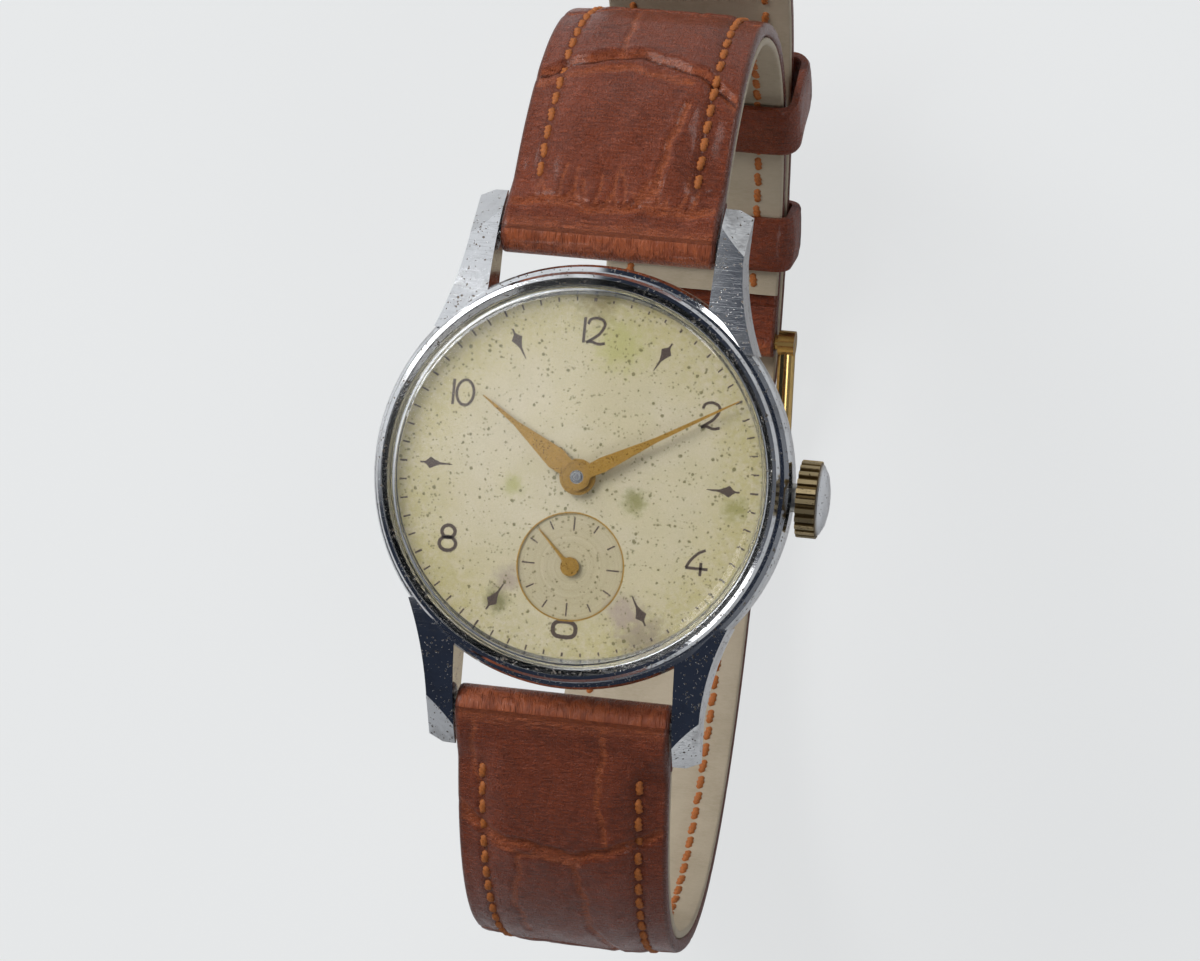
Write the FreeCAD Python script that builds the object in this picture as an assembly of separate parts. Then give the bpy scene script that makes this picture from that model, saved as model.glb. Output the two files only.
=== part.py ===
import FreeCAD, Part
import math
import os

# Hand-wound wristwatch with small seconds, closed on its leather strap.
# Frame: millimetres, origin at the centre of the case back's outer face.
# +Z runs out through the dial, +Y towards 12 o'clock, +X towards the crown.

os.makedirs("parts", exist_ok=True)
Vector = FreeCAD.Vector

# ---------------------------------------------------------------- driving dimensions
# Case
case_radius = 17.0
case_bottom = 0.74
case_shoulder = 5.3
shoulder_width = 1.1
neck_top = 6.02
neck_wall = 0.5
dial_seat = 5.0
dial_ledge = 0.44
lug_gap = 18.0
lug_tip_width = 2.3
lug_root_angle = 40.1
lug_slant = 1.0
lug_tip_top = 2.2
lug_bottom = 0.3
lug_bevel = 1.6
lug_past_bar = 0.7
bar_from_case = 2.3
bar_z = 1.6
bar_radius = 0.75
bar_pivot_radius = 0.4
bar_pivot_depth = 0.8
fit_gap = 0.04
press_gap = 0.02

# Bezel, crystal and case back
bezel_step = 0.7
bezel_top = 7.4
bezel_lip = 0.5
flange_inset = 0.4
flange_width = 0.28
crystal_wall = 0.42
crystal_top = 9.4
crystal_thickness = 0.9
back_thickness = 0.75
back_slope = 3.3
back_hub_height = 1.7
back_hub_wall = 0.6
gasket_width = 0.36
gasket_groove = 0.24
case_screw_angles = (130, 310)
case_screw_head = 0.95

# Crown and stem, on the 3 o'clock axis
stem_z = 3.1
stem_radius = 0.5
crown_radius = 3.1
crown_length = 2.3
crown_gap = 0.5
crown_flutes = 24
flute_depth = 0.3
crown_dome = 0.75
crown_tube_radius = 1.15
crown_tube_out = 0.35
crown_thread = 1.6
crown_pull = 0.9
stem_square = 0.34
stem_tip_radius = 0.25
stem_tip_end = 6.3
stem_square_end = 7.1
stem_groove = (11.3, 11.8)
stem_groove_radius = 0.3
spool_radius = 1.2
spool_waist = 0.8
spool_length = 1.2
spool_travel = 0.7
lever_low, lever_high = 3.72, 3.92
lever_hole_radius = 0.33
post_radius = 0.3
setting_lever_at = (11.1, 2.6)
yoke_at = (8.6, 4.4)

# Dial and hands
dial_thickness = 0.4
dial_feet = (100, 285)
dial_foot_circle = 11.9
dial_foot_radius = 0.4
dial_centre_hole = 1.35
dial_seconds_hole = 0.55
subdial_radius = 4.3
subdial_depth = 0.12
seconds_z = 5.5
hour_hand_z = 5.86
minute_hand_z = 6.22
hand_thickness = 0.14
hour_pipe_radius = 1.0
cannon_pipe_radius = 0.69
cannon_seat_radius = 0.55
cannon_bore_radius = 0.4
hour_hand_length = 10.0
minute_hand_length = 14.4
seconds_hand_length = 3.9
hour_hand_angle = 305.0
minute_hand_angle = 60.0
seconds_hand_angle = 315.0

# Movement: plates, levels and tooth counts
plate_radius = 13.0
plate_low = 3.6
bridge_low = 1.65
bridge_thickness = 0.6
bridge_gap = 0.12
screw_radius = 0.4
screw_head_radius = 0.8
screw_head = 0.25
arbor_radius = 0.3
pivot_radius = 0.12
pivot_length = 0.37
seconds_pivot_radius = 0.15
jewel_radius = 0.6
jewel_thickness = 0.35
pallet_jewel_radius = 0.45
run_gap = 0.03
barrel_low, barrel_high = 2.62, 3.95
barrel_gear_low, barrel_gear_high = 3.55, 3.85
barrel_cover_thickness = 0.19
barrel_hub_radius = 0.9
ratchet_square = 0.5
crown_core_radius = 1.0
winding_wheel_low, winding_wheel_high = 1.3, 1.6
centre_wheel_low, centre_wheel_high = 2.34, 2.52
centre_pinion_low, centre_pinion_high = 3.5, 3.9
third_wheel_low, third_wheel_high = 2.7, 2.86
third_pinion_low, third_pinion_high = 2.3, 2.6
fourth_wheel_low, fourth_wheel_high = 3.3, 3.46
fourth_pinion_low, fourth_pinion_high = 2.64, 2.92
escape_wheel_low, escape_wheel_high = 2.92, 3.06
escape_pinion_low, escape_pinion_high = 3.2, 3.52
pallet_low, pallet_high = 2.9, 3.06
pallet_bridge_low, pallet_bridge_high = 2.45, 2.75
balance_low, balance_high = 2.02, 2.32
balance_arm_low, balance_arm_high = 2.1, 2.25
cock_low, cock_high = 1.2, 1.8
roller_low, roller_high = 2.78, 2.85
regulator_low, regulator_high = 1.05, 1.18
hairspring_low, hairspring_high = 1.84, 1.98
motion_low, motion_high = 4.25, 4.45
hour_wheel_low, hour_wheel_high = 4.58, 4.8
barrel_teeth, centre_pinion_teeth, barrel_module = 78, 12, 0.1375
centre_teeth, third_pinion_teeth, centre_module = 80, 10, 0.11
third_teeth, fourth_pinion_teeth, third_module = 75, 10, 0.11
fourth_teeth, escape_pinion_teeth, fourth_module = 80, 8, 0.1
seconds_offset = 7.15
cannon_teeth, minute_teeth, motion_module = 12, 36, 0.12
minute_pinion_teeth, hour_teeth = 10, 40
setting_teeth = 26
minute_wheel_angle = 20.0
crown_wheel_teeth, ratchet_teeth, winding_module = 30, 44, 0.2
winding_pinion_teeth = 15
crown_wheel_x = 7.2
escape_teeth = 15
escape_radius = 2.1
escape_angle = 215.0
balance_radius = 3.95
balance_reach = 8.75
escape_to_balance = 6.3
escape_to_pallet = 2.6
impulse_radius = 0.8
timing_screws = 14

# Strap loop: a rounded closed curve in the Y-Z plane through both spring bars
loop_half_width = 39.1
loop_centre_z = -20.3
loop_squareness = 2.3
strap_gap = 0.2
strap_end_width = 16.0
strap_lug_thickness = 3.4
strap_thickness = 2.2
strap_taper_length = 24.0
lining_thickness = 0.7
lug_roll_swell = 0.06
buckle_half_length = 70.0
tail_half_length = 134.0
tail_lift = 2.95
tail_spring = 7.0
tail_spring_length = 24.0
buckle_reach = 9.5
buckle_wire = 0.8
buckle_clearance = 0.3
buckle_bar_radius = 0.7
buckle_ear_radius = 1.15
tongue_radius = 0.55
keeper_width = 5.0
keeper_wall = 0.9
fixed_keeper_back = 9.5
free_keeper_back = 22.0
fixed_keeper_room = 0.12
free_keeper_room = 0.6
tongue_slot_half = 1.1
tongue_hole_half = 0.9

# ---------------------------------------------------------------- sizes that follow
neck_radius = case_radius - shoulder_width
bezel_radius = case_radius - bezel_step
dial_radius = neck_radius - neck_wall
case_bore_radius = dial_radius - dial_ledge
crystal_flange_radius = neck_radius - flange_inset
crystal_wall_radius = crystal_flange_radius - flange_width
back_radius = neck_radius
back_flat_radius = back_radius - back_slope
gasket_inner_radius = case_bore_radius + gasket_groove
gasket_outer_radius = gasket_inner_radius + gasket_width + 2 * press_gap
bar_y = case_radius + bar_from_case
lug_top_end = bar_y + lug_past_bar
crown_tube_end = case_radius + crown_tube_out
crown_start = case_radius + crown_gap
dial_top = dial_seat + dial_thickness
bridge_high = bridge_low + bridge_thickness
end_half = strap_end_width / 2
lug_roll_radius = strap_lug_thickness / 2 + lug_roll_swell

# ---------------------------------------------------------------- helpers


def save(name, *solids):
    """Write one node: a single solid, or a group of separate solids."""
    shape = solids[0] if len(solids) == 1 else Part.makeCompound(list(solids))
    shape.exportStep("parts/" + name + ".step")


def cylinder(radius, low, high, at=(0, 0)):
    return Part.makeCylinder(radius, high - low, Vector(at[0], at[1], low))


def ring(outer, inner, low, high, at=(0, 0)):
    return cylinder(outer, low, high, at).cut(cylinder(inner, low - 1, high + 1, at))


def cross_bar(radius, x_from, x_to, y, z):
    """A cylinder that lies along X."""
    return Part.makeCylinder(radius, x_to - x_from, Vector(x_from, y, z), Vector(1, 0, 0))


def box(low, high):
    size = [b - a for a, b in zip(low, high)]
    return Part.makeBox(size[0], size[1], size[2], Vector(*low))


def prism(outline, low, high):
    """A flat outline of (x, y) corners, raised from low to high."""
    corners = [Vector(x, y, low) for x, y in outline]
    face = Part.Face(Part.makePolygon(corners + corners[:1]))
    return face.extrude(Vector(0, 0, high - low))


def turned(outline):
    """A solid turned about the Z axis, from an (r, z) outline."""
    corners = [Vector(r, 0, z) for r, z in outline]
    face = Part.Face(Part.makePolygon(corners + corners[:1]))
    return face.revolve(Vector(0, 0, 0), Vector(0, 0, 1), 360)


def along_x(shape):
    """Lay a shape made about the Z axis along the stem's axis."""
    shape.rotate(Vector(0, 0, 0), Vector(0, 1, 0), 90)
    shape.translate(Vector(0, 0, stem_z))
    return shape


def polar(radius, degrees, centre=(0, 0)):
    angle = math.radians(degrees)
    return (centre[0] + radius * math.cos(angle), centre[1] + radius * math.sin(angle))


def direction(start, end):
    """Angle in degrees of the line from start to end."""
    return math.degrees(math.atan2(end[1] - start[1], end[0] - start[0]))


def distance(start, end):
    return math.hypot(end[0] - start[0], end[1] - start[1])


def meet(first, first_radius, second, second_radius, side):
    """Where two circles cross, on the given side (+1 left, -1 right) of the line between them."""
    gap = distance(first, second)
    along = (first_radius ** 2 - second_radius ** 2 + gap ** 2) / (2 * gap)
    across = math.sqrt(first_radius ** 2 - along ** 2)
    turn = math.degrees(math.atan2(side * across, along))
    return polar(first_radius, direction(first, second) + turn, first)


def clock(length, degrees, across=0.0, centre=(0, 0)):
    """A point at a clock angle from 12, with an offset to the right of that direction."""
    angle = math.radians(degrees)
    x = centre[0] + length * math.sin(angle) + across * math.cos(angle)
    y = centre[1] + length * math.cos(angle) - across * math.sin(angle)
    return (x, y)


# ---------------------------------------------------------------- gears


def pitch_radius(teeth, module):
    return teeth * module / 2


def gear(teeth, module, low, high, at=(0, 0), phase=0.0):
    """A spur gear whose first tooth stands at the phase angle, in degrees."""
    pitch = 360.0 / teeth
    radius = pitch_radius(teeth, module)
    root, tip = radius - 1.2 * module, radius + 0.85 * module
    outline = []
    for tooth in range(teeth):
        middle = phase + tooth * pitch
        outline.append(polar(root, middle - 0.29 * pitch, at))
        outline.append(polar(tip, middle - 0.11 * pitch, at))
        outline.append(polar(tip, middle + 0.11 * pitch, at))
        outline.append(polar(root, middle + 0.29 * pitch, at))
    return prism(outline, low, high)


def mesh_phase(teeth, at, phase, other_teeth, other_at):
    """Phase that puts the other gear's gaps on this gear's teeth."""
    line = direction(at, other_at)
    here = (line - phase) * teeth / 360.0
    return line + 180.0 - (0.5 - here) * 360.0 / other_teeth


def spoked(wheel, at, outer, inner, spokes, width, low, high):
    """Cut the open windows of a wheel and leave its spokes."""
    windows = ring(outer, inner, low, high, at)
    for spoke in range(spokes):
        bar = box((0, -width / 2, low - 1), (outer + 1, width / 2, high + 1))
        bar.rotate(Vector(0, 0, 0), Vector(0, 0, 1), spoke * 360.0 / spokes + 10)
        bar.translate(Vector(at[0], at[1], 0))
        windows = windows.cut(bar)
    return wheel.cut(windows)


def arbor(at, low, high, radius=arbor_radius):
    """An arbor with a fine pivot at each end."""
    body = cylinder(radius, low + pivot_length, high - pivot_length, at)
    return body.fuse(cylinder(pivot_radius, low, high, at))


def join(*solids):
    return solids[0].multiFuse(list(solids[1:])).removeSplitter()


def strip(start, end, start_half, end_half, low, high):
    """A flat bar between two points, with its half width at each end."""
    line = direction(start, end)
    return prism([
        polar(start_half, line + 90, start),
        polar(start_half, line - 90, start),
        polar(end_half, line - 90, end),
        polar(end_half, line + 90, end),
    ], low, high)


def spiral(at, start_radius, pitch, turns, thickness, low, high):
    """A flat coiled ribbon."""
    steps = int(turns * 16)
    inner, outer = [], []
    for step in range(steps + 1):
        degrees = 360.0 * turns * step / steps
        radius = start_radius + pitch * turns * step / steps
        x, y = polar(radius, degrees, at)
        inner.append(Vector(x, y, low))
        x, y = polar(radius + thickness, degrees, at)
        outer.append(Vector(x, y, low))
    edges = []
    for points in (inner, outer):
        curve = Part.BSplineCurve()
        curve.interpolate(points)
        edges.append(curve.toShape())
    edges.append(Part.makeLine(inner[0], outer[0]))
    edges.append(Part.makeLine(inner[-1], outer[-1]))
    face = Part.Face(Part.Wire(Part.__sortEdges__(edges)))
    return face.extrude(Vector(0, 0, high - low))


# ---------------------------------------------------------------- places in the movement

centre = (0.0, 0.0)
crown_wheel_at = (crown_wheel_x, 0.0)
fourth_at = (0.0, -seconds_offset)
barrel_span = pitch_radius(barrel_teeth, barrel_module) + pitch_radius(centre_pinion_teeth, barrel_module)
winding_span = pitch_radius(crown_wheel_teeth, winding_module) + pitch_radius(ratchet_teeth, winding_module)
barrel_at = meet(centre, barrel_span, crown_wheel_at, winding_span, 1)
centre_span = pitch_radius(centre_teeth, centre_module) + pitch_radius(third_pinion_teeth, centre_module)
third_span = pitch_radius(third_teeth, third_module) + pitch_radius(fourth_pinion_teeth, third_module)
third_at = meet(centre, centre_span, fourth_at, third_span, 1)
fourth_span = pitch_radius(fourth_teeth, fourth_module) + pitch_radius(escape_pinion_teeth, fourth_module)
escape_at = polar(fourth_span, escape_angle, fourth_at)
balance_at = meet(escape_at, escape_to_balance, centre, balance_reach, 1)
escape_line = direction(escape_at, balance_at)
pallet_at = polar(escape_to_pallet, escape_line, escape_at)
motion_span = pitch_radius(cannon_teeth + minute_teeth, motion_module)
minute_wheel_at = polar(motion_span, minute_wheel_angle)
hour_module = 2 * motion_span / (minute_pinion_teeth + hour_teeth)
setting_span = pitch_radius(minute_teeth + setting_teeth, motion_module)
setting_at = (minute_wheel_at[0] + setting_span, minute_wheel_at[1])

pinion_x = crown_wheel_x + pitch_radius(crown_wheel_teeth, winding_module) - 0.5
spool_end = pinion_x - run_gap
winding_line = direction(crown_wheel_at, barrel_at)
click_at = polar(pitch_radius(ratchet_teeth, winding_module) + 2.0, winding_line + 30, barrel_at)
train_ends = [third_at, fourth_at, escape_at]

barrel_outer = pitch_radius(barrel_teeth, barrel_module) + barrel_module
third_outer = pitch_radius(third_teeth, third_module) + third_module
fourth_outer = pitch_radius(fourth_teeth, fourth_module) + fourth_module
hour_outer = pitch_radius(hour_teeth, hour_module) + hour_module
minute_outer = pitch_radius(minute_teeth, motion_module) + motion_module
setting_outer = pitch_radius(setting_teeth, motion_module) + motion_module

barrel_bridge_screws = [(-9.5, 5.0), (-5.5, 10.2), (10.2, 5.4)]
train_bridge_screws = [(8.5, -7.0), (4.5, -10.6), (-6.3, 0.3)]
cock_foot = (-11.1, -0.7)
pallet_foot = (-7.7, -9.35)

# ---------------------------------------------------------------- case


def lug(side_x, side_y):
    """One lug: a swept horn with a flat bevelled end, open towards the strap."""
    inner = lug_gap / 2
    outer = inner + lug_tip_width
    reach = lug_top_end + lug_slant + lug_bevel
    root = polar(case_radius, lug_root_angle)
    root_y = root[1] - 0.45
    start = Vector(root[0], root[1], 0)
    middle = Vector(outer + 0.32, bar_y - 3.9, 0)
    end = Vector(outer - 0.1, bar_y - lug_past_bar, 0)
    edges = [
        Part.Arc(start, middle, end).toShape(),
        Part.makeLine(end, Vector(outer, reach, 0)),
        Part.makeLine(Vector(outer, reach, 0), Vector(inner, reach, 0)),
        Part.makeLine(Vector(inner, reach, 0), Vector(inner, root_y, 0)),
        Part.makeLine(Vector(inner, root_y, 0), start),
    ]
    plan = Part.Face(Part.Wire(edges)).extrude(Vector(0, 0, case_shoulder))
    # side view: the top falls in one long curve from the case to the tip
    back_y = root_y - 1.5
    crest = [
        Vector(0, back_y, case_shoulder),
        Vector(0, bar_y - 3.7, case_shoulder - 0.75),
        Vector(0, reach, lug_tip_top - 1.1),
    ]
    low = [
        Vector(0, reach, lug_bottom),
        Vector(0, bar_y - 5.3, case_bottom),
        Vector(0, back_y, case_bottom),
    ]
    sides = [
        Part.Arc(*crest).toShape(),
        Part.makeLine(crest[2], low[0]),
        Part.makeLine(low[0], low[1]),
        Part.makeLine(low[1], low[2]),
        Part.makeLine(low[2], crest[0]),
    ]
    side_view = Part.Face(Part.Wire(sides)).extrude(Vector(outer + 5, 0, 0))
    horn = plan.common(side_view)
    # the end face slants in plan and is bevelled at 45 degrees
    slant = math.degrees(math.atan2(lug_slant, lug_tip_width))
    cutter = box((-case_radius, 0, -case_radius), (case_radius, 2 * case_radius, case_radius))
    cutter.rotate(Vector(0, 0, 0), Vector(1, 0, 0), 45)
    cutter.rotate(Vector(0, 0, 0), Vector(0, 0, 1), -slant)
    cutter.translate(Vector(outer, lug_top_end, lug_tip_top))
    horn = horn.cut(cutter)
    horn = horn.cut(cross_bar(bar_pivot_radius + run_gap, 0, inner + bar_pivot_depth + 0.1, bar_y, bar_z))
    if side_x < 0:
        horn = horn.mirror(Vector(0, 0, 0), Vector(1, 0, 0))
    if side_y < 0:
        horn = horn.mirror(Vector(0, 0, 0), Vector(0, 1, 0))
    return horn


def case_body():
    outline = [
        (case_bore_radius, case_bottom),
        (gasket_inner_radius, case_bottom),
        (gasket_inner_radius, case_bottom + gasket_groove),
        (gasket_outer_radius, case_bottom + gasket_groove),
        (gasket_outer_radius, case_bottom),
        (case_radius - 0.9, case_bottom),
        (case_radius - 0.25, case_bottom + 0.75),
        (case_radius, case_bottom + 1.6),
        (case_radius, case_shoulder - 0.75),
        (case_radius - 0.2, case_shoulder - 0.25),
        (case_radius - 0.55, case_shoulder),
        (neck_radius, case_shoulder),
        (neck_radius, neck_top),
        (dial_radius + fit_gap, neck_top),
        (dial_radius + fit_gap, dial_seat),
        (case_bore_radius, dial_seat),
    ]
    # the lugs start inside the wall of the ring, clear of its bore, groove and dial seat
    core = cylinder(neck_radius - 0.15, -1, neck_top)
    lugs = [lug(x, y).cut(core) for x in (1, -1) for y in (1, -1)]
    body = turned(outline).multiFuse(lugs)
    tube_hole = cross_bar(crown_tube_radius, plate_radius, crown_start, 0, stem_z)
    return body.cut(tube_hole).removeSplitter()


def case_parts():
    save("case_body", case_body())
    bezel = turned([
        (neck_radius + press_gap, case_shoulder),
        (bezel_radius, case_shoulder),
        (bezel_radius, bezel_top - 0.55),
        (bezel_radius - 0.22, bezel_top - 0.12),
        (bezel_radius - 0.5, bezel_top),
        (crystal_wall_radius + fit_gap, bezel_top - 0.3),
        (crystal_wall_radius + fit_gap, bezel_top - bezel_lip),
        (crystal_flange_radius + run_gap, bezel_top - bezel_lip),
        (crystal_flange_radius + run_gap, neck_top),
        (neck_radius + press_gap, neck_top),
    ])
    save("bezel", bezel)
    save("crystal", crystal())
    back = turned([
        (0, 0),
        (back_flat_radius, 0),
        (back_radius - 0.7, 0.3),
        (back_radius, case_bottom - 0.06),
        (back_radius, case_bottom - 0.01),
        (case_bore_radius - fit_gap, case_bottom - 0.01),
        (case_bore_radius - fit_gap, back_hub_height),
        (case_bore_radius - back_hub_wall, back_hub_height),
        (case_bore_radius - back_hub_wall, back_thickness + 0.1),
        (0, back_thickness),
    ])
    save("case_back", back)
    gasket = ring(gasket_outer_radius - press_gap, gasket_inner_radius + press_gap,
                  case_bottom, case_bottom + gasket_groove - 0.01)
    save("back_gasket", gasket)
    holder_low, holder_high = 2.65, dial_seat - 0.05
    holder = ring(case_bore_radius - 0.06, plate_radius + 0.05, holder_low, holder_high)
    holder = holder.cut(box((0, -2, 0), (case_radius, 2, neck_top)))
    screws = []
    for degrees in case_screw_angles:
        at = polar((plate_radius + case_bore_radius) / 2, degrees)
        holder = holder.cut(cylinder(screw_radius + press_gap, 0, holder_high - 0.75, at))
        shank = cylinder(screw_radius, holder_low, holder_high - 0.8, at)
        head = cylinder(case_screw_head, holder_low - 0.3, holder_low, at)
        screws.append(shank.fuse(head).removeSplitter())
    save("movement_ring", holder)
    save("case_screws", *screws)


def crystal():
    """A high acrylic dome with an upright wall and a flange under the bezel."""
    flange_low = neck_top + 0.01
    flange_high = bezel_top - bezel_lip - press_gap
    inner_wall = crystal_wall_radius - crystal_wall
    corner_z = bezel_top + 0.35
    outer_knee = Vector(crystal_wall_radius - 1.0, 0, corner_z + 0.62)
    inner_knee = Vector(inner_wall - 0.55, 0, corner_z - 0.15)
    points = [
        Vector(inner_wall, 0, flange_low),
        Vector(crystal_flange_radius, 0, flange_low),
        Vector(crystal_flange_radius, 0, flange_high),
        Vector(crystal_wall_radius, 0, flange_high),
        Vector(crystal_wall_radius, 0, corner_z),
    ]
    top = Vector(0, 0, crystal_top)
    under = Vector(0, 0, crystal_top - crystal_thickness)
    inner_start = Vector(inner_wall, 0, corner_z - 0.75)

    def dome(rim, crown_point):
        """An arc from the rim, flat at the middle."""
        drop = crown_point.z - rim.z
        radius = (rim.x ** 2 + drop ** 2) / (2 * drop)
        half = math.asin(rim.x / radius) / 2
        via = Vector(radius * math.sin(half), 0, crown_point.z - radius * (1 - math.cos(half)))
        return Part.Arc(rim, via, crown_point).toShape()

    outer_bend = Vector(crystal_wall_radius - 0.27, 0, corner_z + 0.42)
    inner_bend = Vector(inner_wall - 0.13, 0, corner_z - 0.37)
    edges = [Part.makeLine(a, b) for a, b in zip(points, points[1:])]
    edges.append(Part.Arc(points[-1], outer_bend, outer_knee).toShape())
    edges.append(dome(outer_knee, top))
    edges.append(Part.makeLine(top, under))
    edges.append(dome(inner_knee, under))
    edges.append(Part.Arc(inner_knee, inner_bend, inner_start).toShape())
    edges.append(Part.makeLine(inner_start, points[0]))
    wire = Part.Wire(Part.__sortEdges__(edges))
    return Part.Face(wire).revolve(Vector(0, 0, 0), Vector(0, 0, 1), 360)


def spring_bars():
    """Two spring bars: a tube between the lugs and a pivot in each lug."""
    bars = []
    for y in (bar_y, -bar_y):
        half = lug_gap / 2 - 0.1
        tube = cross_bar(bar_radius, -half, half, y, bar_z)
        reach = lug_gap / 2 + bar_pivot_depth
        bars.append(tube.fuse(cross_bar(bar_pivot_radius, -reach, reach, y, bar_z)).removeSplitter())
    save("spring_bars", *bars)


# ---------------------------------------------------------------- crown and keyless works


def crown():
    """A fluted rim and a smooth domed end; the hollow skirt runs over the tube."""
    end = crown_start + crown_length
    rim_end = end - crown_dome
    valley = crown_radius - flute_depth
    outline = []
    for flute in range(crown_flutes):
        for share, radius in ((0.0, crown_radius), (0.45, crown_radius), (0.6, valley), (0.85, valley)):
            outline.append(polar(radius, (flute + share) * 360.0 / crown_flutes))
    rim = along_x(prism(outline, crown_start, rim_end))
    cap = along_x(turned([
        (0, rim_end),
        (crown_radius - 0.2, rim_end),
        (crown_radius - 0.35, rim_end + 0.2),
        (crown_radius - 1.0, end - 0.2),
        (crown_radius - 1.9, end),
        (0, end),
    ]))
    socket = cross_bar(crown_tube_radius + 0.1, crown_start - 1, crown_start + 1.0, 0, stem_z)
    thread = cross_bar(stem_radius, crown_start, crown_start + crown_thread, 0, stem_z)
    return join(rim, cap).cut(socket).cut(thread)


def crown_tube():
    tube = cross_bar(crown_tube_radius, plate_radius + 0.2, crown_tube_end, 0, stem_z)
    return tube.cut(cross_bar(stem_radius + run_gap, plate_radius, crown_start, 0, stem_z))


def winding_stem():
    """A square for the sliding pinion, a groove for the setting lever and a tip in the plate."""
    groove_start, groove_end = stem_groove
    return join(
        cross_bar(stem_radius, pinion_x, groove_start, 0, stem_z),
        cross_bar(stem_groove_radius, groove_start, groove_end, 0, stem_z),
        cross_bar(stem_radius, groove_end, crown_start + crown_thread, 0, stem_z),
        box((stem_square_end, -stem_square, stem_z - stem_square),
            (pinion_x, stem_square, stem_z + stem_square)),
        cross_bar(stem_tip_radius, stem_tip_end, stem_square_end, 0, stem_z),
    )


def winding_pinion():
    """A pinion round the stem that turns the crown wheel above it."""
    teeth = along_x(gear(winding_pinion_teeth, 0.19, pinion_x, pinion_x + 0.95))
    return teeth.cut(cross_bar(stem_radius + run_gap, stem_tip_end, plate_radius, 0, stem_z))


def sliding_pinion():
    """A spool on the stem's square, with setting teeth at its inner end."""
    waist_start, waist_end, start = spool_end - 0.45, spool_end - 0.95, spool_end - spool_length
    spool = join(
        cross_bar(spool_radius, waist_start, spool_end, 0, stem_z),
        cross_bar(spool_waist, waist_end, waist_start, 0, stem_z),
        cross_bar(spool_radius + 0.05, start, waist_end, 0, stem_z),
    )
    side = stem_square + press_gap
    return spool.cut(box((stem_tip_end, -side, stem_z - side), (plate_radius, side, stem_z + side)))


def setting_lever():
    """A flat arm on a post, whose pin stands beside the stem's groove."""
    middle = sum(stem_groove) / 2
    x, y = setting_lever_at
    arm = prism([(x - 0.6, y + 0.4), (x + 0.6, y + 0.4), (middle + 0.4, 0.9), (middle - 0.4, 0.9)],
                lever_low, lever_high)
    pin = cylinder(0.16, stem_z, lever_high, (middle, stem_groove_radius + 0.25))
    tip = box((middle - 0.16, 0.36, lever_low), (middle + 0.16, 1.0, lever_high))
    return join(arm, tip, pin).cut(cylinder(lever_hole_radius, stem_z, dial_seat, setting_lever_at))


def yoke():
    """An arm on a post, whose finger lies in the sliding pinion's waist."""
    waist = spool_end - 0.7
    x, y = yoke_at
    arm = prism([(x - 0.4, y + 0.5), (x + 0.5, y + 0.5), (waist + 0.4, 1.0), (waist - 0.3, 1.0)],
                lever_low, lever_high)
    near = spool_waist + 0.06
    finger = box((waist - 0.14, near, stem_z - 0.1), (waist + 0.14, near + 0.34, lever_high))
    return join(arm, finger).cut(cylinder(lever_hole_radius, stem_z, dial_seat, yoke_at))


def winding_wheels():
    phase = 6.0
    low, high = winding_wheel_low, winding_wheel_high
    wheel = gear(crown_wheel_teeth, winding_module, low, high, crown_wheel_at, phase)
    save("crown_wheel", wheel.cut(cylinder(crown_core_radius + run_gap, 0, dial_seat, crown_wheel_at)))
    core_low = low - press_gap
    core = cylinder(crown_core_radius, core_low, bridge_low, crown_wheel_at)
    head = cylinder(crown_core_radius + 0.35, core_low - 0.2, core_low, crown_wheel_at)
    save("crown_wheel_core", core.fuse(head).removeSplitter())
    phase = mesh_phase(crown_wheel_teeth, crown_wheel_at, phase, ratchet_teeth, barrel_at)
    ratchet = gear(ratchet_teeth, winding_module, low, high, barrel_at, phase)
    x, y = barrel_at
    half = ratchet_square
    square = box((x - half, y - half, low), (x + half, y + half, bridge_low))
    save("ratchet_wheel", ratchet.cut(square))
    seat = cylinder(barrel_hub_radius, bridge_low, barrel_high + 0.3, barrel_at)
    core = cylinder(barrel_hub_radius + 0.4, barrel_low + 0.3, barrel_gear_low - run_gap, barrel_at)
    save("barrel_arbor", join(seat, core, square))
    save("ratchet_screw", cylinder(1.2, low - 0.25, low, barrel_at))


def click():
    """A pawl in the ratchet's teeth, on a post of the barrel bridge."""
    toward = direction(click_at, barrel_at)
    nose = polar(1.55, toward - 28, click_at)
    body = cylinder(0.75, winding_wheel_low, winding_wheel_high, click_at)
    finger = prism([
        polar(0.7, toward + 50, click_at),
        polar(0.7, toward - 100, click_at),
        polar(0.12, toward - 118, nose),
        polar(0.12, toward + 62, nose),
    ], winding_wheel_low, winding_wheel_high)
    return body.fuse(finger).cut(cylinder(post_radius + run_gap, 0, dial_seat, click_at)).removeSplitter()


def click_spring():
    """A blade along the bridge that bears on the click's back."""
    toward = direction(click_at, barrel_at)
    back = polar(0.85, toward + 170, click_at)
    heel = polar(3.6, toward + 92, click_at)
    wide = 0.14
    low = winding_wheel_low + press_gap
    blade = strip(heel, back, wide, wide / 2, low, winding_wheel_high - press_gap)
    return blade.fuse(cylinder(0.55, low, bridge_low, heel)).removeSplitter()


# ---------------------------------------------------------------- dial and hands


def dial():
    plate = cylinder(dial_radius, dial_seat, dial_top)
    plate = plate.cut(cylinder(subdial_radius, dial_top - subdial_depth, dial_top + 1, fourth_at))
    plate = plate.cut(cylinder(dial_centre_hole, dial_seat - 1, dial_top + 1))
    plate = plate.cut(cylinder(dial_seconds_hole, dial_seat - 1, dial_top + 1, fourth_at))
    feet = [cylinder(dial_foot_radius, dial_seat - 1.0, dial_seat, polar(dial_foot_circle, angle))
            for angle in dial_feet]
    return plate.multiFuse(feet).removeSplitter()


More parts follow.
